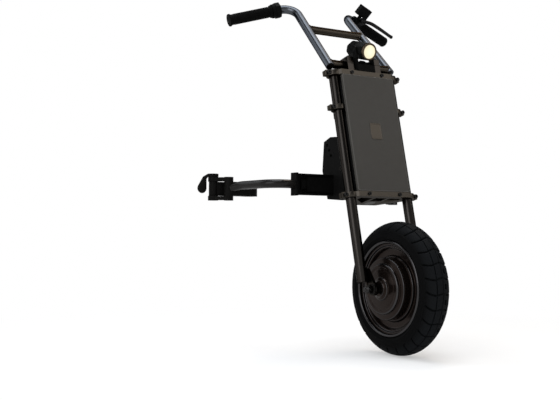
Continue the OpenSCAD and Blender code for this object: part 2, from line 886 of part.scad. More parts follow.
// Front cover with bevelled edges and a plain raised plaque
module battery_cover() {
    foot = yoke_top + move_gap;
    h = case_h - 2 * move_gap;
    back = case_front - fit_gap;
    front = back - cover_panel_t;
    color([0.25, 0.24, 0.23]) steering() {
        hull() {
            translate([-cover_panel_w / 2, back - cover_panel_t / 2, foot])
                cube([cover_panel_w, cover_panel_t / 2, h]);
            translate([-cover_panel_w / 2 + cover_bevel, front, foot + cover_bevel])
                cube([cover_panel_w - 2 * cover_bevel, cover_panel_t, h - 2 * cover_bevel]);
        }
        translate([-plaque_w / 2, front - plaque_t, yoke_top + plaque_rise - plaque_h / 2])
            cube([plaque_w, plaque_t + fit_gap, plaque_h]);
    }
}

module battery_cells() {
    y = case_back - case_wall - cell_d / 2 - fit_gap;
    inner = case_w / 2 - case_wall - fit_gap;
    color([0.25, 0.4, 0.6]) steering()
        for (row = [0 : cell_rows - 1], s = [-1, 1])
            translate([s > 0 ? inner - cell_l : -inner, y, cell_z + row * cell_pitch])
                rotate([0, 90, 0]) cylinder(h = cell_l, d = cell_d);
}

module battery_board() {
    back = case_back - case_wall - fit_gap;
    color([0.1, 0.35, 0.2]) steering() {
        translate([-electronics_w / 2, back - board_t, board_z]) cube([electronics_w, board_t, board_h]);
        for (i = [-2 : 2])
            translate([i * chip_pitch - chip.x / 2, back - chip.y - board_t / 2, board_z + board_h / 4])
                cube([chip.x, chip.y, board_h / 2]);
    }
}

module motor_controller() {
    back = case_back - case_wall - fit_gap;
    color([0.6, 0.6, 0.62]) steering() difference() {
        translate([-electronics_w / 2, back - controller_depth, controller_z])
            cube([electronics_w, controller_depth, controller_h]);
        for (x = [-electronics_w / 2 + 2 * fin : 2 * fin : electronics_w / 2 - 2 * fin])
            translate([x, back - controller_depth - cut, controller_z - cut])
                cube([fin, fin_depth + cut, controller_h + 2 * cut]);
    }
}

module charge_socket() {
    floor_z = -case_wall / 2;
    inner = socket_d / 2 - socket_step;
    spot = [-rear_fitting_x, case_back, fitting_z];
    color([0.15, 0.15, 0.16]) steering() translate(spot) rotate([-90, 0, 0]) {
        difference() {
            union() {
                cylinder(h = socket_rim, d = socket_d);
                translate([0, 0, -case_wall]) cylinder(h = case_wall + cut, r = inner);
            }
            translate([0, 0, floor_z]) cylinder(h = case_wall + socket_rim, r = inner - wall_min);
        }
        for (a = [0 : 120 : 240])
            rotate(a) translate([socket_d / 8, 0, floor_z - cut / 2]) cylinder(h = cut, r = contact_r);
    }
}

module power_button() {
    color([0.5, 0.08, 0.07]) steering() translate([rear_fitting_x, case_back, fitting_z]) rotate([-90, 0, 0])
        translate([0, 0, -case_wall + button_travel]) cylinder(h = case_wall + collar_h, d = button_d);
}

// Handlebar

module handlebar_cross_tube() {
    end = bar_foot - bar_r / 2;
    color([0.2, 0.2, 0.21]) steering() difference() {
        translate([-end, bar_back, bar_z]) rotate([0, 90, 0]) pipe(2 * end, bar_r, bar_wall);
        both_sides() rod(foot_p - up_dir * bar_d * 2, foot_p + up_dir * bar_d * 2, bar_r + fit_gap);
    }
}

module handlebar_side() {
    low = foot_p - up_dir * (bar_r + cut);
    end = corner_p + end_dir * bar_end;
    difference() {
        bent_rod([low, corner_p, end], bar_bend, bar_r);
        bent_rod([low - up_dir * cut, corner_p, end + end_dir * cut], bar_bend, bar_r - bar_wall);
    }
}

module handlebar_left() {
    color([0.22, 0.22, 0.24]) steering() handlebar_side();
}

module handlebar_right() {
    color([0.22, 0.22, 0.24]) steering() mirror([1, 0, 0]) handlebar_side();
}

module handlebar_brace() {
    p = foot_p + up_dir * brace_up;
    color([0.2, 0.18, 0.16]) steering() difference() {
        translate([-p.x, p.y, p.z]) rotate([0, 90, 0]) pipe(2 * p.x, brace_d / 2, bar_wall);
        both_sides() rod(foot_p, corner_p, bar_r + fit_gap);
    }
}

// One riser's block from a height upwards, drilled for the bar and its screws
module riser_part(z0, z1) {
    difference() {
        translate([-riser_w / 2, bar_back - riser_depth / 2, z0]) cube([riser_w, riser_depth, z1 - z0]);
        translate([-riser_w, bar_back, bar_z]) rotate([0, 90, 0])
            cylinder(h = 2 * riser_w, r = bar_r + fit_gap);
        for (s = [-1, 1])
            translate([0, bar_back + s * riser_screw_y, bar_z - screw_l - screw_room])
                cylinder(h = screw_l + screw_room + bar_d, r = screw_d / 2 + fit_gap);
    }
}

module riser_blocks() {
    color([0.1, 0.1, 0.1]) steering() both_sides() translate([riser_x, 0, 0])
        riser_part(fork_top, bar_z - move_gap / 2);
}

module riser_caps() {
    color([0.1, 0.1, 0.1]) steering() both_sides() translate([riser_x, 0, 0])
        riser_part(bar_z + move_gap / 2, bar_z + bar_r + riser_cap);
}

// Controls: x runs out along the left bar end, y runs ahead of it
module left_end() {
    steering() aim(corner_p, end_dir, ahead_dir) children();
}

module right_end() {
    steering() mirror([1, 0, 0]) aim(corner_p, end_dir, ahead_dir) children();
}

module along_bar(x) {
    translate([x, 0, 0]) rotate([0, 90, 0]) children();
}

module throttle_housing() {
    color([0.08, 0.08, 0.08]) right_end() difference() {
        union() {
            along_bar(control_start) rotate(22.5)
                cylinder(h = throttle_w * throttle_share, d = throttle_d, $fn = 8);
            along_bar(control_start) cylinder(h = throttle_w, d = throttle_d * throttle_neck);
        }
        along_bar(control_start - cut) cylinder(h = throttle_w + 2 * cut, r = bar_r + fit_gap);
    }
}

module throttle_grip() {
    length = bar_end - grip_start + move_gap;
    color([0.07, 0.07, 0.07]) right_end() along_bar(grip_start) difference() {
        union() {
            cylinder(h = length + grip_end, d = grip_d);
            cylinder(h = grip_flange_t, d = flange_d);
            translate([0, 0, length + grip_end - grip_flange_t]) cylinder(h = grip_flange_t, d = flange_d);
        }
        translate([0, 0, -cut]) cylinder(h = length + cut, r = bar_r + run_gap);
    }
}

module left_grip() {
    start = control_start + perch_w + move_gap;
    length = bar_end - start + move_gap;
    round_z = length + grip_end - grip_round;
    color([0.07, 0.07, 0.07]) left_end() along_bar(start) difference() {
        union() {
            cylinder(h = round_z, r = grip_r);
            cylinder(h = length + grip_end, r = grip_r - grip_round);
            translate([0, 0, round_z]) rotate_extrude() translate([grip_r - grip_round, 0]) intersection() {
                circle(r = grip_round);
                translate([-cut, -cut]) square(2 * grip_round);
            }
        }
        translate([0, 0, -cut]) cylinder(h = length + cut, r = bar_r + fit_gap);
    }
}

module brake_perch() {
    ear = pivot_d / 2 + perch_ear;
    half_h = lever_t / 2 + move_gap;
    low = -half_h - perch_ear;
    color([0.08, 0.08, 0.08]) left_end() {
        difference() {
            union() {
                along_bar(control_start) cylinder(h = perch_w, r = bar_r + perch_wall);
                translate([pivot_x - ear, 0, low]) cube([2 * ear, pivot_reach, -2 * low]);
                translate([pivot_x, pivot_reach, low]) cylinder(h = -2 * low, r = ear);
            }
            along_bar(control_start - cut) cylinder(h = perch_w + 2 * cut, r = bar_r + fit_gap);
            translate([pivot_x - 2 * ear, bar_r + perch_wall + cut, -half_h])
                cube([4 * ear, pivot_reach + ear, 2 * half_h]);
        }
        translate([pivot_x, pivot_reach, low]) cylinder(h = -2 * low, d = pivot_d);
    }
}

module brake_lever() {
    hub = pivot_d / 2 + lever_hub;
    tip = pivot_x + lever_l;
    bulb = lever_t * 0.6;
    elbow = pivot_x + lever_elbow;
    blade = [
        [pivot_x - 1, pivot_reach + hub - 1], [elbow, lever_reach + blade_half - 1],
        [tip - bulb * 2, lever_reach + blade_half], [tip, lever_reach + blade_half + 1],
        [tip, lever_reach - blade_half], [tip - bulb * 2, lever_reach - blade_half - 1],
        [elbow + lever_hub * 2, lever_reach - 2 * blade_half], [pivot_x + hub - 1, pivot_reach - lever_hub]
    ];
    color([0.08, 0.08, 0.08]) left_end() difference() {
        union() {
            translate([0, 0, -lever_t / 2]) linear_extrude(lever_t) polygon(blade);
            translate([pivot_x, pivot_reach, -lever_t / 2]) cylinder(h = lever_t, r = hub);
            translate([tip, lever_reach + 0.5, -lever_t / 2]) cylinder(h = lever_t, r = bulb);
        }
        translate([pivot_x, pivot_reach, -lever_t]) cylinder(h = 2 * lever_t, r = pivot_d / 2 + run_gap);
    }
}

// The display's neck rises from the perch; its face looks back at the rider
module display_frame() {
    left_end() translate([pivot_x, 0, 0]) rotate([-display_tilt, 0, 0])
        translate([0, display_rise, 0]) children();
}

module display_case() {
    neck_foot = display_rise - bar_r - perch_wall - fit_gap;
    color([0.09, 0.09, 0.09]) display_frame() difference() {
        union() {
            cube([display_w, display_h, display_t], center = true);
            translate([0, -neck_foot, 0]) rotate([-90, 0, 0]) cylinder(h = neck_foot, r = neck_r);
        }
        translate([-display_w / 2 + screen_edge, -display_h / 2 + screen_foot, -display_t / 2 - cut])
            cube([display_w - 2 * screen_edge, display_h - screen_foot - screen_edge, screen_t + cut]);
        translate([0, press_y, -display_t / 2 - cut]) cylinder(h = press_h + cut, r = press_r + run_gap);
    }
}

module display_screen() {
    inset = screen_edge + fit_gap;
    color([0.05, 0.09, 0.1]) display_frame()
        translate([-display_w / 2 + inset, -display_h / 2 + screen_foot + fit_gap, -display_t / 2])
            cube([display_w - 2 * inset, display_h - screen_foot - inset - fit_gap, screen_t - fit_gap]);
}

module display_button() {
    color([0.35, 0.35, 0.36]) display_frame()
        translate([0, press_y, -display_t / 2 - press_proud]) cylinder(h = press_h, r = press_r);
}

// Lamp

// Height of the lamp's underside over the top yoke when it is tilted lowest, at y behind its pivot
function lamp_under(y) = lamp_rise + (y * sin(lamp_dip) - lamp_d / 2) / cos(lamp_dip);

// Block under the lamp from y0 to y1, with its top parallel to the lowest underside
module bracket_block(w, y0, y1, z0, room) {
    translate([-w / 2, lamp_p.y, fork_top]) rotate([90, 0, 90]) linear_extrude(w)
        polygon([[y0, z0], [y1, z0], [y1, lamp_under(y1) - room], [y0, lamp_under(y0) - room]]);
}

module lamp_bracket() {
    outer = lamp_inner + arm_t;
    half = bracket_depth / 2;
    color([0.09, 0.09, 0.09]) steering() difference() {
        union() {
            bracket_block(2 * outer, -half, half, 0, window_room);
            bracket_block(stem.x, half - stem.y, half - move_gap, wall_min, stem_room);
            for (s = [-1, 1]) translate([s * (lamp_inner + arm_t / 2), lamp_p.y, 0]) {
                translate([-arm_t / 2, -bracket_depth / 2, fork_top]) cube([arm_t, bracket_depth, lamp_rise]);
                translate([-arm_t / 2, 0, lamp_p.z]) rotate([0, 90, 0])
                    cylinder(h = arm_t, r = bracket_depth / 2);
            }
        }
        translate([-2 * outer, lamp_p.y, lamp_p.z]) rotate([0, 90, 0])
            cylinder(h = 4 * outer, r = lamp_pin_d / 2 + run_gap);
    }
}

// Lamp axis: -y looks out of the lens
module lamp_frame() {
    steering() translate(lamp_p) rotate([lamp_tilt, 0, 0]) children();
}

// Eight-sided prism along the lamp's axis, from y ahead
module lamp_prism(y, h, corner_d) {
    translate([0, y, 0]) rotate([90, 0, 0]) rotate(22.5) cylinder(h = h, d = corner_d, $fn = 8);
}

module lamp_body() {
    corner_d = lamp_d / cos(22.5);
    pin_half = lamp_inner + arm_t;
    back = lamp_l - lamp_front;
    color([0.08, 0.08, 0.08]) lamp_frame() difference() {
        union() {
            lamp_prism(back - lamp_tail, lamp_l - lamp_tail - bezel_h + cut, corner_d);
            lamp_prism(back, lamp_tail + cut, corner_d * lamp_taper);
            translate([0, -lamp_front + bezel_h, 0]) rotate([90, 0, 0]) cylinder(h = bezel_h, d = lamp_d);
            translate([-pin_half, 0, 0]) rotate([0, 90, 0]) cylinder(h = 2 * pin_half, d = lamp_pin_d);
        }
        translate([0, -lamp_front + lens_depth, 0]) rotate([90, 0, 0])
            cylinder(h = lens_depth + cut, d = lens_d + 2 * fit_gap);
    }
}

module lamp_lens() {
    dome_r = lens_d;
    color([1, 0.95, 0.8]) lamp_frame() translate([0, -lamp_front + lens_proud, 0]) rotate([90, 0, 0])
        translate([0, 0, -lens_t]) intersection() {
            cylinder(h = 2 * lens_t, d = lens_d);
            translate([0, 0, 2 * lens_t - dome_r]) sphere(r = dome_r, $fn = 96);
        }
}

// Docking frame

module head_tube() {
    h = head_top - head_low;
    color([0.12, 0.12, 0.12]) steering() translate([0, steerer_back, head_low]) difference() {
        cylinder(h = h, d = head_d);
        translate([0, 0, -cut]) cylinder(h = h + 2 * cut, d = head_bore);
        translate([0, 0, -cut]) cylinder(h = bearing_h + cut, r = bearing_d / 2 + fit_gap);
        translate([0, 0, h - bearing_h]) cylinder(h = bearing_h + cut, r = bearing_d / 2 + fit_gap);
    }
}

module headset_bearings() {
    color([0.7, 0.7, 0.72]) steering() for (z = [head_low, head_top - bearing_h])
        translate([0, steerer_back, z]) ring(bearing_h - fit_gap, bearing_d / 2, steerer_d / 2 + run_gap);
}

plate_half = plate_gap / 2;
plate_set = 9;
block_foot = 14;
block_h = 136;
block_depth = 46;
block_lap = 6;
plate_front = steerer_back + plate_set;
block_low = head_low + block_foot;
block_top = block_low + block_h;
block_rear = plate_front + block_depth;
// Side plate corners: behind the block and over its foot or top
plate_foot = 4;
plate_heel = 6;
plate_tail = 64;
tail_low = 8;
tail_high = 86;
crown_back = [46, 22];
crown_front = [16, 26];
brow = 8;
// Spare holes in the side plates: first place over the block, step and radius
spare_first = [34, 10];
spare_step = [5, 16];
spare_r = 4;
spot_edge = 14;
bolt_spots = [
    [plate_front + spot_edge, block_low + spot_edge], [block_rear - spot_edge, (block_low + block_top) / 2],
    [plate_front + spot_edge, block_top - spot_edge]
];
thread_l = 16;
plate_head_h = 4;
beam_bolts = [10, 22];
beam_bolt_edge = 10;
beam_head_d = 9;
beam_head_h = 3;

module head_block() {
    color([0.1, 0.1, 0.1]) steering() difference() {
        translate([-plate_half, plate_front - block_lap, block_low])
            cube([plate_gap, block_rear - plate_front + block_lap, block_top - block_low]);
        translate([0, steerer_back, block_low - cut])
            cylinder(h = block_top - block_low + 2 * cut, r = head_d / 2 + fit_gap);
        for (p = bolt_spots)
            translate([-plate_gap, p.x, p.y]) rotate([0, 90, 0])
                cylinder(h = 2 * plate_gap, r = bolt_d / 2 + fit_gap);
    }
}

// The beam's upright section, seen along x in the steering frame
module beam_outline(grow) {
    y = beam_y - axle_lead * cos(fork_lean);
    z = beam_z - axle_z + axle_lead * sin(fork_lean);
    translate([y * cos(fork_lean) - z * sin(fork_lean), y * sin(fork_lean) + z * cos(fork_lean)])
        rotate(fork_lean) square([beam_depth + 2 * grow, beam_h + 2 * grow], center = true);
}

module side_plate() {
    rear = block_rear + plate_tail;
    foot = head_low + plate_foot;
    crown = [block_rear, block_top];
    outline = [
        [plate_front, foot], [block_rear + plate_heel, foot], [rear, block_low + tail_low],
        [rear + plate_heel, block_low + tail_high], crown + crown_back, crown + crown_front,
        [plate_front, block_top + brow]
    ];
    translate([plate_half, 0, 0]) rotate([90, 0, 90]) linear_extrude(plate_t) difference() {
        polygon(outline);
        beam_outline(fit_gap);
        for (p = bolt_spots) translate(p) circle(r = bolt_d / 2 + fit_gap);
        for (i = [0 : 2]) translate(crown + spare_first - i * spare_step) circle(r = spare_r);
    }
}

module side_plate_left() {
    color([0.09, 0.09, 0.09]) steering() side_plate();
}

module side_plate_right() {
    color([0.09, 0.09, 0.09]) steering() mirror([1, 0, 0]) side_plate();
}

module cross_beam() {
    spot = [-beam_half, beam_y, beam_z];
    color([0.08, 0.08, 0.08]) ground() translate(spot) rotate([90, 0, 90]) difference() {
        linear_extrude(2 * beam_half) difference() {
            square([beam_depth, beam_h], center = true);
            square([beam_depth - 2 * beam_wall, beam_h - 2 * beam_wall], center = true);
        }
        for (x = beam_bolts, s = [-1, 1], m = [0, 2 * beam_half])
            translate([0, s * (beam_h / 2 - beam_bolt_edge), abs(m - x)]) rotate([0, -90, 0])
                cylinder(h = beam_depth, r = bolt_d / 2 + fit_gap);
    }
}

module beam_end_caps() {
    plug = beam_wall + fit_gap;
    color([0.08, 0.08, 0.08]) ground() both_sides() translate([beam_half, beam_y, beam_z]) rotate([90, 0, 90])
        difference() {
            union() {
                linear_extrude(cap_t)
                    square([beam_depth + 2 * wall_min, beam_h + 2 * wall_min], center = true);
                translate([0, 0, -2 * beam_wall]) linear_extrude(2 * beam_wall + cut)
                    square([beam_depth - 2 * plug, beam_h - 2 * plug], center = true);
            }
            translate([0, 0, cap_t / 2]) cylinder(h = cap_t, r = dock_arm_d / 2 + fit_gap);
        }
}

module dock_bolts() {
    reach = plate_half + plate_t;
    color([0.2, 0.2, 0.2]) {
        steering() both_sides() for (p = bolt_spots)
            translate([reach, p.x, p.y]) rotate([0, 90, 0])
                screw(bolt_d, plate_t + thread_l, bolt_head_d, plate_head_h);
        ground() both_sides() for (x = beam_bolts, s = [-1, 1])
            translate([beam_half - x, beam_y - beam_depth / 2, beam_z + s * (beam_h / 2 - beam_bolt_edge)])
                rotate([90, 0, 0]) screw(bolt_d, beam_wall, beam_head_d, beam_head_h);
    }
}

module dock_arm() {
    first = unit(arm_path[1] - arm_path[0]);
    difference() {
        bent_rod(arm_path, dock_bend, dock_arm_d / 2);
        bent_rod(concat([arm_path[0] - first * cut], [for (i = [1 : 3]) arm_path[i]]), dock_bend,
            dock_arm_d / 2 - dock_arm_wall);
        translate([post.x, post.y, 0]) cylinder(h = 2 * dock_z, r = post_r + fit_gap);
        translate([0, -fit_gap, jaw_low]) linear_extrude(saddle_h) polygon(saddle_web);
    }
}

module dock_arm_right() {
    color([0.16, 0.15, 0.14]) ground() dock_arm();
}

module dock_arm_left() {
    color([0.16, 0.15, 0.14]) ground() mirror([1, 0, 0]) dock_arm();
}

// Half of the plan, ahead of (side -1) or behind (side 1) the gripped tube's middle
module half_plan(side) {
    reach = saddle_r * 2;
    translate([seat.x - reach, seat.y + (side > 0 ? jaw_split / 2 : -jaw_split / 2 - reach)])
        square([2 * reach, reach]);
}

module dock_saddle() {
    run = jaw_pivot - post;
    bar_w = 2 * jaw_hub_r;
    top = ear_high + ear_t;
    difference() {
        union() {
            translate([post.x, post.y, ear_low]) cylinder(h = top - ear_low, r = post_r);
            for (z = [ear_low, ear_high]) {
                translate([jaw_pivot.x, jaw_pivot.y, z]) cylinder(h = ear_t, r = ear_r);
                translate([post.x, post.y, z]) rotate(atan2(run.y, run.x))
                    translate([0, -bar_w / 2, jaw_split]) cube([norm(run), bar_w, ear_t - 2 * jaw_split]);
            }
            translate([0, 0, jaw_low]) linear_extrude(saddle_h) polygon(saddle_web);
            translate([0, 0, jaw_low]) intersection() {
                translate([seat.x, seat.y, 0]) cylinder(h = saddle_h, r = saddle_r);
                linear_extrude(saddle_h) half_plan(-1);
            }
        }
        translate([seat.x, seat.y, jaw_low - cut]) cylinder(h = saddle_h + 2 * cut, d = dock_tube_d);
        translate([jaw_pivot.x, jaw_pivot.y, ear_low - cut])
            cylinder(h = top - ear_low + 2 * cut, r = jaw_pin_d / 2 + run_gap);
    }
}

module dock_saddle_right() {
    color([0.15, 0.14, 0.13]) ground() dock_saddle();
}

module dock_saddle_left() {
    color([0.15, 0.14, 0.13]) ground() mirror([1, 0, 0]) dock_saddle();
}

module locking_jaw() {
    web = [
        [jaw_pivot.x, jaw_pivot.y + jaw_hub_r - wall_min], [seat.x - saddle_r / 2, seat.y + saddle_r * 0.8],
        [seat.x - saddle_r + wall_min, seat.y + jaw_split], [jaw_pivot.x, jaw_pivot.y - jaw_hub_r * 0.7]
    ];
    translate([0, 0, jaw_low]) difference() {
        union() {
            intersection() {
                translate([seat.x, seat.y, 0]) cylinder(h = saddle_h, r = saddle_r);
                linear_extrude(saddle_h) half_plan(1);
            }
            translate([jaw_pivot.x, jaw_pivot.y, 0]) cylinder(h = saddle_h, r = jaw_hub_r);
            linear_extrude(saddle_h) polygon(web);
        }
        translate([seat.x, seat.y, -cut]) cylinder(h = saddle_h + 2 * cut, d = dock_tube_d);
        translate([jaw_pivot.x, jaw_pivot.y, -cut])
            cylinder(h = saddle_h + 2 * cut, r = jaw_pin_d / 2 + fit_gap);
    }
}

module locking_jaw_right() {
    color([0.17, 0.16, 0.15]) ground() locking_jaw();
}

module locking_jaw_left() {
    color([0.17, 0.16, 0.15]) ground() mirror([1, 0, 0]) locking_jaw();
}

// Pivot pin, round cap and drooping paddle
module clamp_lever() {
    cap_z = ear_high + ear_t + move_gap;
    cap_h = 8;
    neck = 12;
    neck_r = 3;
    bead_r = 5.5;
    paddle_set = 7;
    paddle_r = 13;
    translate([jaw_pivot.x, jaw_pivot.y, 0]) {
        translate([0, 0, ear_low]) cylinder(h = cap_z - ear_low + cut, d = jaw_pin_d);
        translate([0, 0, cap_z]) cylinder(h = cap_h, r = lever_cap_r);
        hull() {
            translate([-lever_cap_r, 0, cap_z + cap_h - neck_r]) sphere(r = neck_r, $fn = 24);
            translate([-ear_r - neck, 0, cap_z - cap_h / 2]) sphere(r = bead_r, $fn = 24);
        }
        hull() {
            translate([-ear_r - neck, 0, cap_z - cap_h / 2]) sphere(r = bead_r, $fn = 24);
            translate([-ear_r - neck - paddle_set, 0, cap_z - paddle_l])
                scale([1, bead_r / paddle_r, 1]) sphere(r = paddle_r, $fn = 32);
        }
    }
}

module clamp_lever_right() {
    color([0.14, 0.13, 0.12]) ground() clamp_lever();
}

module clamp_lever_left() {
    color([0.14, 0.13, 0.12]) ground() mirror([1, 0, 0]) clamp_lever();
}

tyre();
hub_shell();
hub_covers();
magnet_ring();
hub_bearings();
stator();
axle();
axle_nuts();
dropout_right();
dropout_left();
fork_tube_right();
fork_tube_left();
lower_yoke();
middle_yoke();
top_yoke();
pinch_bolts();
socket_screws();
steerer();
head_tube();
headset_bearings();
battery_case();
battery_cover();
battery_cells();
battery_board();
motor_controller();
charge_socket();
power_button();
handlebar_cross_tube();
handlebar_right();
handlebar_left();
handlebar_brace();
riser_blocks();
riser_caps();
throttle_housing();
throttle_grip();
left_grip();
brake_perch();
brake_lever();
display_case();
display_screen();
display_button();
lamp_bracket();
lamp_body();
lamp_lens();
head_block();
side_plate_right();
side_plate_left();
cross_beam();
beam_end_caps();
dock_bolts();
dock_arm_right();
dock_arm_left();
dock_saddle_right();
dock_saddle_left();
locking_jaw_right();
locking_jaw_left();
clamp_lever_right();
clamp_lever_left();
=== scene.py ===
import json
import math

import bmesh
import bpy
from mathutils import Matrix, Vector


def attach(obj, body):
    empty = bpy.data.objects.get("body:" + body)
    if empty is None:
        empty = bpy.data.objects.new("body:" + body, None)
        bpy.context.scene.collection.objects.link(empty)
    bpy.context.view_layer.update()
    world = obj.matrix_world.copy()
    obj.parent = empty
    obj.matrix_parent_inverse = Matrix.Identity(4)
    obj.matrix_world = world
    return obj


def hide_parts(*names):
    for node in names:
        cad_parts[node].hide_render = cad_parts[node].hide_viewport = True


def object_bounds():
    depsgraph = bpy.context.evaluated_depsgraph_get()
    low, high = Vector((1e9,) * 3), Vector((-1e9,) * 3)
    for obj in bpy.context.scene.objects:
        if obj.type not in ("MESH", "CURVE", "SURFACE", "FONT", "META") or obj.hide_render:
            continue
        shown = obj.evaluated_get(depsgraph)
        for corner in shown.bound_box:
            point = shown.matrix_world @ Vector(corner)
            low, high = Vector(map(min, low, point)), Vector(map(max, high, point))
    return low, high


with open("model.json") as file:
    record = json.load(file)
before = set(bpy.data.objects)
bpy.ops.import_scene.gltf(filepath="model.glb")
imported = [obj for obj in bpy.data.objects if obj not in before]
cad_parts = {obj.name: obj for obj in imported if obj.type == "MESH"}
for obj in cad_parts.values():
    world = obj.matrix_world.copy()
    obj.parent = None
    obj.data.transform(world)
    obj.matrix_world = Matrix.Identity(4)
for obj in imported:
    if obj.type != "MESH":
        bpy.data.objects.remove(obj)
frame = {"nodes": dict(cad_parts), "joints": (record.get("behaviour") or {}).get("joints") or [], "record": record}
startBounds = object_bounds()
mm = 0.001
joinGap = 2e-6  # metres within which corners join
joints = {joint["name"]: joint for joint in frame["joints"]}
wheelCentre = Vector(joints["wheel_spin"]["pos_m"])
slotOf = {part["node"]: part["material_slot"] for part in frame["record"]["subparts"]}
print("stage: frame loaded,", len(frame["nodes"]), "nodes")


class Wire:  # a shader socket that combines with plain operators
    def __init__(self, tree, socket=None):
        self.tree = tree
        self.socket = socket

    def node(self, kind, settings=None, inputs=None, out=0):
        made = self.tree.nodes.new(kind)
        for key, value in (settings or {}).items():
            setattr(made, key, value)
        for key, value in (inputs or {}).items():
            if isinstance(value, Wire):
                self.tree.links.new(value.socket, made.inputs[key])
            else:
                made.inputs[key].default_value = value
        return Wire(self.tree, made.outputs[out] if made.outputs else None)

    def math(self, operation, first, second=0.0):
        return self.node("ShaderNodeMath", {"operation": operation}, {0: first, 1: second})

    def __add__(self, other):
        return self.math("ADD", self, other)

    def __radd__(self, other):
        return self.math("ADD", other, self)

    def __sub__(self, other):
        return self.math("SUBTRACT", self, other)

    def __rsub__(self, other):
        return self.math("SUBTRACT", other, self)

    def __mul__(self, other):
        return self.math("MULTIPLY", self, other)

    def __rmul__(self, other):
        return self.math("MULTIPLY", other, self)


def rgba(colour):
    return (*colour, 1.0)


def grey(level):
    return (level,) * 3


def noise(wire, vector, scale, detail, rough=0.6):
    sockets = {"Vector": vector, "Scale": scale, "Detail": detail, "Roughness": rough}
    return wire.node("ShaderNodeTexNoise", None, sockets, out="Fac")


def blendColour(wire, factor, first, second):
    sockets = {0: factor, 6: first, 7: second}
    return wire.node("ShaderNodeMix", {"data_type": "RGBA"}, sockets, out=2)


def vectorMath(wire, operation, first, second, out=0):
    sockets = {0: first, 1: second}
    return wire.node("ShaderNodeVectorMath", {"operation": operation}, sockets, out)


def smoothShare(wire, value, low, high, start=0.0):  # from start to 1 between low and high
    sockets = {0: value, 1: low, 2: high, 3: start, 4: 1.0}
    return wire.node("ShaderNodeMapRange", {"interpolation_type": "SMOOTHSTEP"}, sockets)


def startMaterial(name):
    material = bpy.data.materials.new(name)
    material.use_nodes = True
    material.node_tree.nodes.clear()
    return material, Wire(material.node_tree)


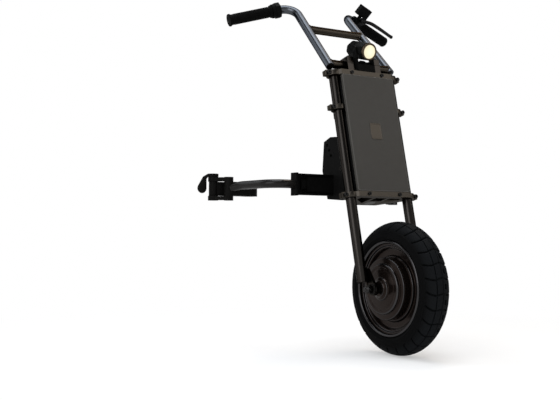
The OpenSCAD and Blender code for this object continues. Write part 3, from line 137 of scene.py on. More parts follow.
# Surfaces: colour range, roughness and its spread, grain size in 1/m and relief in metres
looks = {
    "tyre_rubber": {
        "dark": (0.0024, 0.0024, 0.0025), "light": (0.0042, 0.0042, 0.0043), "rough": 0.6,
        "spec": 0.012, "grain": 1600, "relief": 0.000016, "cloud": 30,
        # treadSheen: painted sheen, a paler bluish tone towards the tread in place of light caught there
        "treadSheen": (0.0088, 0.0096, 0.0106), "treadSheenFrom": 0.134, "treadSheenTo": 0.156, "patchy": 0.3},
    "hub_metal": {
        "dark": (0.0134, 0.0093, 0.0077), "light": (0.0168, 0.0118, 0.0099), "rough": 0.17,
        "spec": 0.06, "metal": 0.7, "grain": 2600, "relief": 0.000001, "spread": 0.05},
    # painted highlight: a lighter copy of the hub metal, for the rim lips and rounded edges
    "rim_painted_highlight": {
        "dark": (0.0360, 0.0345, 0.0350), "light": (0.0470, 0.0450, 0.0460), "rough": 0.2,
        "metal": 1.0, "grain": 2600, "relief": 0.000001, "spread": 0.05, "edge": 0.5},
    "magnet": {
        "dark": (0.3, 0.3, 0.31), "light": grey(0.4), "rough": 0.4, "metal": 1.0, "grain": 900,
        "relief": 0.00003},
    "bearing_steel": {
        "dark": (0.42, 0.42, 0.43), "light": grey(0.52), "rough": 0.25, "metal": 1.0, "grain": 1500,
        "relief": 0.000006},
    "winding": {
        "dark": (0.28, 0.1, 0.04), "light": (0.4, 0.16, 0.07), "rough": 0.4, "metal": 0.8,
        "grain": 1400, "relief": 0.0001},
    "axle_steel": {
        "dark": (0.030, 0.029, 0.029), "light": (0.045, 0.044, 0.043), "rough": 0.28, "metal": 1.0,
        "grain": 1800, "relief": 0.000003, "edge": 0.5},
    "dark_steel": {
        "dark": (0.016, 0.0152, 0.0146), "light": (0.024, 0.023, 0.022), "rough": 0.3, "metal": 1.0,
        "grain": 1800, "relief": 0.000004, "edge": 0.4},
    "black_screws": {
        "dark": (0.0036, 0.0036, 0.0037), "light": grey(0.0065), "rough": 0.36, "spec": 0.1,
        "grain": 1800, "relief": 0.000006},
    "bronze_plate": {
        "dark": (0.0400, 0.0352, 0.0296), "light": (0.0520, 0.0460, 0.0392), "rough": 0.36,
        "metal": 1.0, "grain": 2400, "relief": 0.000005, "spread": 0.08, "edge": 0.4},
    "bronze_tube": {
        "dark": (0.0210, 0.0188, 0.0172), "light": (0.0280, 0.0252, 0.0232), "rough": 0.22,
        "metal": 1.0, "grain": 2400, "relief": 0.0000015, "spread": 0.06, "edge": 0.35},
    "bar_chrome": {
        "dark": (0.0600, 0.0640, 0.0715), "light": (0.0710, 0.0760, 0.0850), "rough": 0.24,
        "metal": 1.0, "grain": 2400, "relief": 0.0000015, "spread": 0.06, "edge": 0.3},
    "brace_metal": {
        "dark": (0.0290, 0.0247, 0.0198), "light": (0.0370, 0.0317, 0.0258), "rough": 0.3,
        "metal": 1.0, "grain": 2400, "relief": 0.000002, "spread": 0.06, "edge": 0.3},
    "black_alloy": {
        "dark": grey(0.0034), "light": (0.0062, 0.0060, 0.0058), "rough": 0.45, "spec": 0.01,
        "grain": 2200, "relief": 0.000008},
    "arm_tube": {
        "dark": (0.0055, 0.0049, 0.0045), "light": (0.0085, 0.0077, 0.0071), "rough": 0.3,
        "spec": 0.12, "coat": 0.1, "grain": 1500, "relief": 0.000003},
    "dock_alloy": {
        "dark": (0.0046, 0.0043, 0.0041), "light": (0.0080, 0.0075, 0.0071), "rough": 0.42,
        "spec": 0.02, "grain": 1300, "relief": 0.000014},
    "panel": {
        "dark": (0.0498, 0.0468, 0.0422), "light": (0.0588, 0.0556, 0.0509), "rough": 0.5,
        "spec": 0.08, "grain": 3000, "relief": 0.00001, "spread": 0.06},
    # painted highlight: a lighter copy of the panel colour for the bevelled edge
    "panel_edge_highlight": {
        "dark": (0.0888, 0.0858, 0.0804), "light": (0.1056, 0.1020, 0.0960), "rough": 0.42,
        "spec": 0.12, "grain": 3000, "relief": 0.000008, "spread": 0.06},
    "case_plastic": {
        "dark": grey(0.0034), "light": grey(0.0060), "rough": 0.5, "spec": 0.015, "grain": 2200,
        "relief": 0.000015},
    "cell_wrap": {
        "dark": (0.03, 0.08, 0.2), "light": (0.05, 0.12, 0.28), "rough": 0.35, "grain": 900,
        "relief": 0.00002},
    "board": {
        "dark": (0.01, 0.06, 0.025), "light": (0.02, 0.1, 0.04), "rough": 0.4, "grain": 900,
        "relief": 0.00003},
    "controller_alloy": {
        "dark": (0.4, 0.4, 0.41), "light": grey(0.5), "rough": 0.4, "metal": 1.0, "grain": 1500,
        "relief": 0.00003},
    "control_plastic": {
        "dark": grey(0.0026), "light": grey(0.0048), "rough": 0.48, "spec": 0.02, "grain": 2400,
        "relief": 0.000012},
    "lamp_black": {
        "dark": grey(0.0026), "light": (0.0048, 0.0047, 0.0045), "rough": 0.4, "spec": 0.03,
        "grain": 2000, "relief": 0.000008},
    "bezel_warm": {
        "dark": (0.055, 0.040, 0.028), "light": (0.085, 0.062, 0.043), "rough": 0.32, "metal": 1.0,
        "grain": 2000, "relief": 0.000004, "spread": 0.08, "edge": 0.5},
    "lever_alloy": {
        "dark": grey(0.0036), "light": grey(0.0060), "rough": 0.34, "spec": 0.08, "grain": 1800,
        "relief": 0.000006},
    "grip_rubber": {
        "dark": grey(0.0026), "light": grey(0.0048), "rough": 0.62, "spec": 0.015, "grain": 1800,
        "relief": 0.00003},
    "screen": {
        "dark": (0.004, 0.008, 0.009), "light": (0.008, 0.013, 0.014), "rough": 0.12, "grain": 400,
        "relief": 0.000004, "spread": 0.05},
    "key_grey": {
        "dark": (0.1, 0.1, 0.102), "light": grey(0.14), "rough": 0.5, "grain": 2000,
        "relief": 0.00003},
    "key_red": {
        "dark": (0.22, 0.012, 0.01), "light": (0.3, 0.02, 0.016), "rough": 0.4, "grain": 2000,
        "relief": 0.00002},
}
# What a surface has where its entry says nothing
plainLook = {"cloud": 45, "spread": 0.16, "metal": 0.0, "spec": 0.4, "edge": 1.0, "coat": 0.0,
             "coatRough": 0.12}


def makeSurface(name, look):
    look = {**plainLook, **look}
    material, wire = startMaterial(name)
    place = wire.node("ShaderNodeTexCoord", out="Object")
    cloud = noise(wire, place, look["cloud"], detail=6)
    grain = noise(wire, place, look["grain"], detail=3)
    colour = blendColour(wire, cloud, rgba(look["dark"]), rgba(look["light"]))
    if "treadSheen" in look:  # painted sheen: paler and bluer towards the tread, standing in for light caught on the tread
        centre, patchy = (0.0, *wheelCentre[1:]), look["patchy"]
        flat = vectorMath(wire, "MULTIPLY", place, (0.0, 1.0, 1.0))
        reach = vectorMath(wire, "DISTANCE", flat, centre, "Value")
        share = smoothShare(wire, reach, look["treadSheenFrom"], look["treadSheenTo"])
        share = share * (1 - patchy + cloud * patchy)
        colour = blendColour(wire, share, colour, rgba(look["treadSheen"]))
    spread = look["spread"]
    rough = look["rough"] + (cloud - 0.5) * spread + (grain - 0.5) * (spread * 0.5)
    bump = wire.node("ShaderNodeBump", None,
                     {"Strength": 1.0, "Distance": look["relief"], "Height": grain})
    shader = wire.node("ShaderNodeBsdfPrincipled", None, {
        "Base Color": colour, "Roughness": rough, "Normal": bump, "Metallic": look["metal"],
        "Specular IOR Level": look["spec"], "Specular Tint": rgba(grey(look["edge"])),
        "Coat Weight": look["coat"], "Coat Roughness": look["coatRough"]})
    wire.node("ShaderNodeOutputMaterial", None, {"Surface": shader})
    return material


surfaces = {name: makeSurface(name, look) for name, look in looks.items()}

lensLook = {"rings": 90.0, "middle": (1.0, 1.0, 0.80), "rim": (1.0, 0.92, 0.64),
            "dim": (0.9, 0.89, 0.86), "strength": 1.0, "glass": (0.06, 0.055, 0.04), "glow": 1.25,
            "fall": 1.9, "relief": 0.0003, "rough": 0.12, "spread": 0.1}


def makeLens(look):  # lit lens: bright middle, warm rim and fine rings
    material, wire = startMaterial("lens")
    place = wire.node("ShaderNodeTexCoord", out="UV")
    away = vectorMath(wire, "DISTANCE", place, (0.5, 0.5, 0.0), "Value")
    rings = wire.math("SINE", away * look["rings"]) * 0.5 + 0.5
    glow = wire.math("SMOOTH_MIN", look["glow"] - away * look["fall"], 1.0)
    warm = blendColour(wire, away * 2.0, rgba(look["middle"]), rgba(look["rim"]))
    level = blendColour(wire, rings * glow, rgba(look["dim"]), rgba(grey(1.0)))
    shade = wire.node("ShaderNodeMix", {"data_type": "RGBA", "blend_type": "MULTIPLY"},
                      {0: 1.0, 6: warm, 7: level}, out=2)
    bump = wire.node("ShaderNodeBump", None,
                     {"Strength": 0.4, "Distance": look["relief"], "Height": rings})
    shader = wire.node("ShaderNodeBsdfPrincipled", None, {
        "Base Color": rgba(look["glass"]), "Roughness": look["rough"] + rings * look["spread"],
        "Normal": bump, "Emission Color": shade, "Emission Strength": look["strength"]})
    wire.node("ShaderNodeOutputMaterial", None, {"Surface": shader})
    return material


surfaces["lens"] = makeLens(lensLook)
print("stage: surfaces made,", len(surfaces))


# Frames: those from the joints turn millimetres into metres
def frameOf(origin, xAxis, yAxis, zAxis):
    rows = [[xAxis[i] * mm, yAxis[i] * mm, zAxis[i] * mm, origin[i]] for i in range(3)]
    return Matrix((*rows, (0.0, 0.0, 0.0, 1.0)))


def axesFrame(xAxis, yAxis, zAxis, origin):
    return Matrix([[xAxis[i], yAxis[i], zAxis[i], origin[i]] for i in range(3)] + [[0, 0, 0, 1]])


def aimed(place, origin, zAxis):  # a frame inside another with its z along a direction
    up = Vector(zAxis).normalized()
    side = up.orthogonal().normalized()
    return place @ axesFrame(side, up.cross(side), up, origin)


headUp = Vector(joints["steer_turn"]["axis"]).normalized()
headSide = Vector((1.0, 0.0, 0.0))
headBack = headUp.cross(headSide)
forkOffset = 40.0  # fork tubes ahead of the steering axis
forkMiddle = Vector(joints["steer_turn"]["pos_m"]) - headBack * forkOffset * mm
steer = frameOf(forkMiddle, headSide, headBack, headUp)
mirrorX = Matrix.Diagonal((-1.0, 1.0, 1.0, 1.0))
sides = {"left": steer, "right": steer @ mirrorX}
ground = Matrix.Scale(mm, 4)
grounds = {"left": ground, "right": ground @ mirrorX}
wheelPlace = frameOf(wheelCentre, (0, 1, 0), (0, 0, 1), (1, 0, 0))


# Outlines and paths are lists of points, and shapes are vertices with their faces
def loft(rings, loop=False):  # skin over rings, closed by end caps or into a loop
    count = len(rings[0])
    verts = [vert for ring in rings for vert in ring]
    faces = []
    for k in range(len(rings) if loop else len(rings) - 1):
        a, b = k * count, (k + 1) % len(rings) * count
        faces += [(a + i, a + (i + 1) % count, b + (i + 1) % count, b + i) for i in range(count)]
    if not loop:
        faces += [tuple(reversed(range(count))), tuple(range(len(verts) - count, len(verts)))]
    return verts, faces


def turnsOf(count):  # angles evenly round a circle
    return [2 * math.pi * k / count for k in range(count)]


def lathe(profile, place, count, loop=False):  # profile of (radius, along z)
    turns = [(math.cos(a), math.sin(a)) for a in turnsOf(count)]
    rings = [[place @ Vector((r * c, r * s, h)) for c, s in turns] for r, h in profile]
    return loft(rings, loop=loop)


def rounded(corners, steps, closed=True):  # corners of (x, y, radius)
    out = []
    for i, (x, y, radius) in enumerate(corners):
        point = Vector((x, y))
        if radius <= 0 or (not closed and i in (0, len(corners) - 1)):
            out.append((x, y))
            continue
        a = Vector(corners[i - 1][:2]) - point
        b = Vector(corners[(i + 1) % len(corners)][:2]) - point
        half = a.angle(b) / 2
        run = min(radius / math.tan(half), 0.49 * a.length, 0.49 * b.length)  # within half a side
        fit = run * math.tan(half)
        a.normalize()
        b.normalize()
        centre = point + (a + b).normalized() * (fit / math.sin(half))
        first, last = point + a * run - centre, point + b * run - centre
        for k in range(steps + 1):
            out.append(tuple(centre + first.lerp(last, k / steps).normalized() * fit))
    return out


def edgeHighlightBands(corners, sizes):  # lighter bands just over rounded edges of a turned piece, a painted highlight on those edges
    steps, proud, sunk = 6, 0.08, 0.5
    shapes = []
    for index in sizes["highlightBands"]:
        arc = rounded(corners[index - 1:index + 2], closed=False, steps=steps)[1:-1]
        arc = [Vector(spot) for spot in arc]
        out = (Vector(corners[index][:2]) - arc[steps // 2]).normalized()
        highlightBand = [spot + out * proud for spot in arc] + [spot - out * sunk for spot in reversed(arc)]
        for side in (1, -1):
            profile = [(spot.x, spot.y * side) for spot in highlightBand]
            shapes.append(lathe(profile, wheelPlace, sizes["count"], loop=True))
    return shapes


def inset(outline, distance, sharpest=0.35):  # moves an anticlockwise outline inwards
    out = []
    for i, point in enumerate(outline):
        a = (Vector(point) - Vector(outline[i - 1])).normalized()
        b = (Vector(outline[(i + 1) % len(outline)]) - Vector(point)).normalized()
        first, second = Vector((-a.y, a.x)), Vector((-b.y, b.x))
        middle = (first + second).normalized()
        out.append(tuple(Vector(point) + middle * (distance / max(sharpest, middle.dot(first)))))
    return out


def slab(outline, low, high, edge, place, steps=3):  # plate with rounded edges
    turns = [math.pi / 2 * k / steps for k in range(steps + 1)]
    levels = [(1 - math.sin(a), low + edge * (1 - math.cos(a))) for a in turns]
    levels += [(1 - math.cos(a), high - edge * (1 - math.sin(a))) for a in turns]
    return loft([[place @ Vector((x, y, z)) for x, y in inset(outline, edge * share)]
                 for share, z in levels])


def bentPath(corners, radius, steps):  # corner points with rounded bends
    points = [Vector(corners[0])]
    for before, corner, after in zip(corners, corners[1:], corners[2:]):
        corner = Vector(corner)
        a, b = (Vector(before) - corner).normalized(), (Vector(after) - corner).normalized()
        half = a.angle(b) / 2
        run = radius / math.tan(half)
        centre = corner + (a + b).normalized() * (radius / math.sin(half))
        first, last = corner + a * run - centre, corner + b * run - centre
        first.normalize()
        last.normalize()
        points += [centre + first.slerp(last, k / steps) * radius for k in range(steps + 1)]
    return points + [Vector(corners[-1])]


# Round or oval tube along points
def sweep(points, radii, place, count, loop=False, flat=1.0, hint=None):
    total = len(points)
    radii = radii if isinstance(radii, list) else [radii] * total
    along = []
    for i in range(total):
        ahead = points[(i + 1) % total] if loop or i + 1 < total else points[i]
        behind = points[i - 1] if loop or i else points[i]
        along.append((ahead - behind).normalized())
    side = (Vector(hint) if hint else along[0].orthogonal()).normalized()
    rings = []
    for i, point in enumerate(points):
        side = (side - along[i] * side.dot(along[i])).normalized()
        across = along[i].cross(side)
        ring = []
        for turn in turnsOf(count):
            out = side * math.cos(turn) + across * math.sin(turn) * flat
            ring.append(place @ (point + radii[i] * out))
        rings.append(ring)
    return loft(rings, loop=loop)


def hexNut(width, low, high, chamfer, place, count=72):  # six-sided nut with turned corners
    rings = []
    narrow = width / 2 - chamfer
    for h, limit in ((low, narrow), (low + chamfer * 0.5, width / 2),
                     (high - chamfer * 0.5, width / 2), (high, narrow)):
        ring = []
        for turn in turnsOf(count):
            flat = math.cos(math.pi / 6) / math.cos((turn % (math.pi / 3)) - math.pi / 6)
            reach = min(limit, width / 2 * flat)
            ring.append(place @ Vector((reach * math.cos(turn), reach * math.sin(turn), h)))
        rings.append(ring)
    return loft(rings)


# Line where a branch meets a tube
def saddleLoop(centre, upAxis, mainRadius, branchAxis, branchRadius, count=56):
    branch = Vector(branchAxis).normalized()
    up = Vector(upAxis).normalized()
    first = branch.orthogonal().normalized()
    second = branch.cross(first)
    loop = []
    for turn in turnsOf(count):
        off = branchRadius * (first * math.cos(turn) + second * math.sin(turn))
        flatOff, flatRun = off - up * off.dot(up), branch - up * branch.dot(up)
        a, b = flatRun.dot(flatRun), 2 * flatOff.dot(flatRun)
        c = flatOff.dot(flatOff) - mainRadius ** 2
        reach = (-b + math.sqrt(max(0.0, b * b - 4 * a * c))) / (2 * a)
        loop.append(Vector(centre) + off + branch * reach)
    return loop


def addObject(name, data):
    made = bpy.data.objects.new(name, data)
    bpy.context.scene.collection.objects.link(made)
    return made


def addPiece(name, shapes, slot, body, replaced=(), look=None, sharp=32.0):
    verts, faces = [], []
    for shapeVerts, shapeFaces in shapes:
        start = len(verts)
        verts += shapeVerts
        faces += [tuple(start + i for i in face) for face in shapeFaces]
    mesh = bpy.data.meshes.new(name)
    mesh.from_pydata([tuple(vert) for vert in verts], [], faces)
    work = bmesh.new()
    work.from_mesh(mesh)
    bmesh.ops.remove_doubles(work, verts=work.verts, dist=joinGap)
    bmesh.ops.recalc_face_normals(work, faces=work.faces)
    work.to_mesh(mesh)
    work.free()
    mesh.shade_smooth()
    mesh.set_sharp_from_angle(angle=math.radians(sharp))
    piece = addObject(name, mesh)
    mesh.materials.append(surfaces[look or slot])
    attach(piece, body)
    if replaced:
        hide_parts(*replaced)
    return piece


# Wheel: tyre with block tread
tyreSizes = {"radius": 160.0, "sectionRadius": 38.0, "blocks": 28, "depth": 5.6, "groove": 4.6,
             "shoulder": 62.0, "bead": 99.0, "bowAt": 28.0, "bow": 8.0, "middle": 3.0, "pit": 4.6,
             "tuck": 0.008, "tuckFrom": 88.0, "beadDepth": 3.0, "beadHalf": 28.9}
# Across the tyre from its middle: angle, depth of cross grooves and ring grooves, ridges, pits
tyreRows = [(0, 0.6, 0.7, 0, 0), (0.8, 0.6, 0.7, 0, 0),
            *((angle, 0.6, 0, 0, 0) for angle in (1.5, 5, 7.5)),
            (8.2, 0.6, 0, 0, 1), (17.3, 0.65, 0, 0, 1), (18, 0.65, 0, 0, 0), (20, 0.7, 0, 0, 0),
            (22.5, 0.75, 0, 0, 0), (23.1, 0.8, 0.85, 0, 0), (25.1, 0.9, 0.85, 0, 0),
            (25.8, 0.95, 0, 0, 0), *((angle, 1, 0, 0, 0) for angle in (29, 34, 39, 44, 49, 54)),
            (58, 0.95, 0, 0, 0), (60.5, 0.7, 0, 0, 0), (62.5, 0.25, 0, 0, 0), (64, 0, 0, 0, 0),
            (65.2, 0, 0, 0.7, 0), (67, 0, 0, 0.7, 0),
            *((angle, 0, 0, 0, 0) for angle in (68.2, 72, 77, 82, 85)),
            (86, 0, 0, 0.5, 0), (88, 0, 0, 0.5, 0),
            *((angle, 0, 0, 0, 0) for angle in (89, 93, 96.5, tyreSizes["bead"]))]


def treadBow(sizes, angle):  # how far a cross groove bows round the tyre, in block pitches
    reach = min(abs(angle), sizes["shoulder"])
    rise = (sizes["shoulder"] - reach) / (sizes["shoulder"] - sizes["bowAt"])
    bow = sizes["bow"] * math.sin(math.pi / 2 * min(1.0, rise))
    if reach < sizes["bowAt"]:
        bow = sizes["middle"] + (sizes["bow"] - sizes["middle"]) * reach / sizes["bowAt"]
    return bow * sizes["blocks"] / (2 * math.pi * sizes["radius"])


def makeTyre(sizes):
    section = sizes["sectionRadius"]
    centre = sizes["radius"] - section
    pitch = 2 * math.pi / sizes["blocks"]
    half = sizes["groove"] / 2 / (sizes["radius"] * pitch)
    # Round the tyre within a block: place in the pitch, share of a cross groove, share of a pit
    steps = [(-1.5 * half, 0, 0), (-half, 0.15, 0), (-0.55 * half, 1, 0), (0.55 * half, 1, 0),
             (half, 0.15, 0), (1.5 * half, 0, 0), (0.16, 0, 0), (0.25, 0, 0), (0.33, 0, 0),
             (0.345, 0, 1), (0.655, 0, 1), (0.67, 0, 0), (0.75, 0, 0), (0.84, 0, 0)]
    across = [(-row[0], *row[1:4], 0) for row in reversed(tyreRows[1:])] + tyreRows
    rings = []
    for angle, cut, ringCut, lift, pitRow in across:
        turn, bow = math.radians(angle), treadBow(sizes, angle)
        tuck = sizes["tuck"] * max(0.0, abs(angle) - sizes["tuckFrom"])
        ring = []
        for block in range(sizes["blocks"]):
            for u, cutStep, pitStep in steps:
                theta = (block + u + bow) * pitch
                cuts = (cutStep * cut * sizes["depth"], ringCut * sizes["depth"],
                        pitRow * pitStep * sizes["pit"])
                r = section * (1.0 - tuck) + lift - max(cuts)
                radius, x = centre + r * math.cos(turn), r * math.sin(turn)
                spot = (radius * math.cos(theta), radius * math.sin(theta), x)
                ring.append(wheelPlace @ Vector(spot))
        rings.append(ring)
    low = centre + section * math.cos(math.radians(sizes["bead"])) - sizes["beadDepth"]
    turns = [(b + step[0]) * pitch for b in range(sizes["blocks"]) for step in steps]
    for x in (sizes["beadHalf"], -sizes["beadHalf"]):
        rings.append([wheelPlace @ Vector((low * math.cos(a), low * math.sin(a), x))
                      for a in turns])
    return loft(rings, loop=True)


addPiece("tyreTread", [makeTyre(tyreSizes)], "tyre_rubber", "wheel", ["tyre"], sharp=40.0)

# Wheel: rim with its drum, its lips and rounded edges in a lighter colour as painted highlight
rimSizes = {"drum": 74.0, "drumHalf": 40.0, "web": 14.0, "cone": 94.0, "lipIn": 107.0,
            "lipOut": 116.2, "half": 32.0, "bead": 111.0, "lip": 6.0, "lipHigh": 36.2,
            "inner": 68.0, "highlightBands": (3, 7, 8), "count": 160}


# Drum's front edge to bead seat, as corners of (radius, along the axle, rounding)
def rimCorners(sizes):
    inner, drum, drumHigh = sizes["inner"], sizes["drum"], sizes["drumHalf"]
    web, cone, lip, high, bead = (sizes[key] for key in ("web", "cone", "lipIn", "half", "bead"))
    return [(inner, drumHigh, 0), (drum, drumHigh, 0.6), (drum, web + 8.0, 1.2),
            (drum + 4.0, web + 6.5, 1.8), (drum + 5.5, web, 2.2), (cone, web, 5.0),
            (cone + 5.0, web + 8.5, 1.6), (cone + 8.0, web + 9.0, 1.8),
            (cone + 9.5, high - 4.6, 1.4), (lip + 0.6, high - 3.6, 1.2), (bead, high - 2.6, 0),
            (bead, 0.0, 0)]


def makeRim(sizes):
    half = rounded(rimCorners(sizes), closed=False, steps=6)
    return half + [(r, -h) for r, h in reversed(half[:-1])]


def makeLip(sizes, side):  # half-round bead round the rim's edge
    middle = (sizes["lipIn"] + sizes["lipOut"]) / 2
    reach = (sizes["lipOut"] - sizes["lipIn"]) / 2
    base = sizes["lipHigh"] - sizes["lip"]
    turns = [math.pi * k / 16 for k in range(17)]
    bead = [(middle + reach * math.cos(a), base + sizes["lip"] * math.sin(a)) for a in turns]
    return lathe([(r, h * side) for r, h in bead], wheelPlace, sizes["count"], loop=True)


addPiece("rimDrum", [lathe(makeRim(rimSizes), wheelPlace, rimSizes["count"], loop=True)],
         "hub_metal", "wheel", ["hub_shell"])
# rim lips in the lighter colour: painted highlight
addPiece("rimLips", [makeLip(rimSizes, 1), makeLip(rimSizes, -1)], "hub_metal", "wheel",
         look="rim_painted_highlight")
addPiece("rimEdgeHighlights", edgeHighlightBands(rimCorners(rimSizes), rimSizes), "hub_metal", "wheel",
         look="rim_painted_highlight")

# Wheel: stepped hub covers
coverSizes = {"flange": 74.0, "step": 60.0, "boss": 28.0, "nose": 18.0, "bore": 8.6,
              "flangeHigh": 44.0, "stepHigh": 52.0, "noseHigh": 60.0, "groove": (46.0, 52.0),
              "highlightBands": (2, 4, 10, 12), "count": 128}


def coverCorners(sizes):  # corners of (radius, along the axle, rounding)
    flange, step, boss = sizes["flange"], sizes["step"], sizes["boss"]
    nose, bore = sizes["nose"], sizes["bore"]
    low, middle, high = sizes["flangeHigh"], sizes["stepHigh"], sizes["noseHigh"]
    grooveIn, grooveOut = sizes["groove"]
    return [(flange - 1, low - 4.0, 0), (flange, low - 3.8, 0.3), (flange, low, 2.4),
            (step + 0.8, low + 0.6, 1.6), (step, middle, 3.4), (grooveOut, middle, 0.3),
            (grooveOut - 0.7, middle - 0.7, 0.3), (grooveIn + 0.6, middle - 0.7, 0.3),
            (grooveIn, middle, 0.3), (boss, middle, 1.2), (boss - 1.6, middle + 4.0, 2.0),
            (nose + 2.4, middle + 5.6, 1.0), (nose, high, 1.6), (bore, high, 0.5),
            (bore, high - 10.0, 0)]


def makeCover(sizes, side):
    profile = rounded(coverCorners(sizes), closed=False, steps=5)
    return lathe([(r, h * side) for r, h in profile], wheelPlace, sizes["count"])


addPiece("hubCovers", [makeCover(coverSizes, 1), makeCover(coverSizes, -1)], "hub_metal", "wheel",
         ["hub_covers"])
# edge bands of the covers in the lighter colour: painted highlight
addPiece("coverEdgeHighlights", edgeHighlightBands(coverCorners(coverSizes), coverSizes), "hub_metal", "wheel",
         look="rim_painted_highlight")
print("stage: wheel made")

# Axle with threads, spacers, washers and nuts
axleSizes = {"shaft": 7.4, "shoulder": 57.0, "thread": 6.0, "half": 103.5, "pitch": 1.5,
             "spacer": 11.0, "spacerIn": 60.5, "dropoutIn": 70.5, "dropoutOut": 78.5,
             "washer": 13.0, "washerThick": 2.0, "nut": 22.0, "nutHigh": 11.0, "nutBore": 5.9,
             "nutFlange": 11.4, "flangeEdge": 1.6, "flangeTop": 2.2, "hexFrom": 1.2,
             "hexChamfer": 1.1, "undercut": 0.4, "threadDepth": 0.7, "plainEnd": 2.2}


def makeAxle(sizes):
    shaft, thread, pitch, end = (sizes[key] for key in ("shaft", "thread", "pitch", "half"))
    neck, root = thread - sizes["undercut"], thread - sizes["threadDepth"]
    along = sizes["dropoutOut"] + sizes["nutHigh"]
    half = [(shaft, 0.0), (shaft, sizes["shoulder"]), (neck, sizes["shoulder"] + 0.2),
            (neck, along)]
    while along < end - sizes["plainEnd"]:
        half += [(root, along), (thread, along + pitch * 0.45), (thread, along + pitch * 0.6)]
        along += pitch
    half += [(thread - 0.3, end - 1.2), (thread - 1.4, end), (0.0, end)]
    return [(r, -h) for r, h in reversed(half[1:])] + half


def makeNuts(sizes):
    bore, spacer = sizes["nutBore"], sizes["spacer"]
    washer, flange = sizes["washer"], sizes["nutFlange"]
    low, high, seat = sizes["spacerIn"], sizes["dropoutIn"], sizes["dropoutOut"]
    nutLow = seat + sizes["washerThick"]
    profiles = (
        rounded([(bore, low, 0), (spacer, low, 0.7), (spacer, high, 0.7), (bore, high, 0)],
                steps=4),
        rounded([(bore, seat, 0), (washer, seat, 0.4), (washer, nutLow, 0.8), (bore, nutLow, 0)],
                steps=3),
        rounded([(bore, nutLow, 0), (flange, nutLow, 0.5),
                 (flange - 0.4, nutLow + sizes["flangeEdge"], 0.6),
                 (bore, nutLow + sizes["flangeTop"], 0)], steps=3))
    hexLow, hexHigh = nutLow + sizes["hexFrom"], nutLow + sizes["nutHigh"]
    shapes = []
    for side in (1, -1):
        place = wheelPlace @ Matrix.Diagonal((1, 1, side, 1))
        shapes += [lathe(profile, place, count=64, loop=True) for profile in profiles]
        shapes.append(hexNut(sizes["nut"], hexLow, hexHigh, sizes["hexChamfer"], place))
    return shapes


addPiece("axleShaft", [lathe(makeAxle(axleSizes), wheelPlace, count=48)], "axle_steel", "steering",
         ["axle"])
addPiece("axleNuts", makeNuts(axleSizes), "dark_steel", "steering", ["axle_nuts"])

# Front cover of the battery with a plain plaque, and a lighter band over its bevelled edge as painted highlight
panelSizes = {"half": 80.0, "low": 240.4, "high": 541.6, "back": -17.65, "front": -25.65,
              "bevel": 1.8, "corner": 4.0, "plaque": (34.0, 42.0), "plaqueHigh": 395.0,
              "plaqueThick": 1.0, "plaqueCorner": 4}
panelFace = steer @ Matrix.Rotation(math.pi / 2, 4, "X")  # x stays, y runs up, z runs ahead


def makePanel(sizes):
    low, high, half, corner = (sizes[key] for key in ("low", "high", "half", "corner"))
    outline = rounded([(-half, low, corner), (half, low, corner), (half, high, corner),
                       (-half, high, corner)], steps=8)
    back, front, bevel = -sizes["back"], -sizes["front"], sizes["bevel"]
    # Steps of (inset from the outline, depth): the bevelled edge alone, then the whole shell
    bend = [(0.5, front - bevel + 1.2), (bevel - 0.9, front - 0.45), (bevel, front - 0.1)]
    shell = [(0.6, back), (0.0, back + 0.6), (0.0, front - bevel + 0.6)] + bend
    shell.append((bevel + 0.9, front))
    # thin shell just over the bevel, in the lighter colour: painted highlight along the panel's edge
    highlightBand = [(s - 0.05, d + 0.05) for s, d in bend] + [(s + 0.3, d - 0.3) for s, d in reversed(bend)]
    rings = [[[panelFace @ Vector((x, y, depth)) for x, y in inset(outline, step)]
              for step, depth in steps] for steps in (shell, highlightBand)]
    return [loft(rings[0])], [loft(rings[1], loop=True)]


def makePlaque(sizes):  # raised rim round a shallow field
    w, h = sizes["plaque"][0] / 2, sizes["plaque"][1] / 2
    z, corner = sizes["plaqueHigh"], sizes["plaqueCorner"]
    outline = rounded([(-w, z - h, corner), (w, z - h, corner), (w, z + h, corner),
                       (-w, z + h, corner)], steps=6)
    front, top = -sizes["front"], -sizes["front"] + sizes["plaqueThick"]
    rings = []
    for step, depth in ((0.0, front - 0.2), (0.0, top - 0.5), (0.5, top), (2.2, top),
                        (2.9, top - 0.7)):
        rings.append([panelFace @ Vector((x, y, depth)) for x, y in inset(outline, step)])
    return [loft(rings)]


panelBody, panelEdgeHighlight = makePanel(panelSizes)
addPiece("panelFront", panelBody, "panel", "steering", ["battery_cover"], sharp=24.0)
addPiece("panelEdgeHighlight", panelEdgeHighlight, "panel", "steering", look="panel_edge_highlight")
addPiece("panelPlaque", makePlaque(panelSizes), "panel", "steering", look="bronze_plate")
print("stage: axle and panel made")

# Handlebar: bent tubes with weld beads
barSizes = {"radius": 11.1, "foot": (94.7, 5.0, 578.0), "corner": (82.0, 141.0, 797.0),
            "tip": (256.0, 192.0, 758.0), "bend": 38.0, "end": 185.0, "brace": 153.0,
            "braceRadius": 10.5, "crossShare": 0.985, "bead": 1.7, "ripple": 0.12,
            "rippleTurn": 1.9, "chamfer": 0.8, "below": 1.0}
barFoot, barCorner, barTip = (Vector(barSizes[key]) for key in ("foot", "corner", "tip"))
barUp = (barCorner - barFoot).normalized()
barEnd = (barTip - barCorner).normalized()
braceSpot = barFoot + barUp * barSizes["brace"]
aheadHint = Vector((0.0, -1.0, -0.2))
barAhead = (aheadHint - barEnd * aheadHint.dot(barEnd)).normalized()
barRise = barEnd.cross(barAhead)


def endFrame(side):  # x along the bar end, y ahead, from the top corner
    return sides[side] @ axesFrame(barEnd, barAhead, barRise, barCorner)


def barFrame(side, along):  # z along the bar end, x ahead
    return sides[side] @ axesFrame(barAhead, barRise, barEnd, barCorner + barEnd * along)


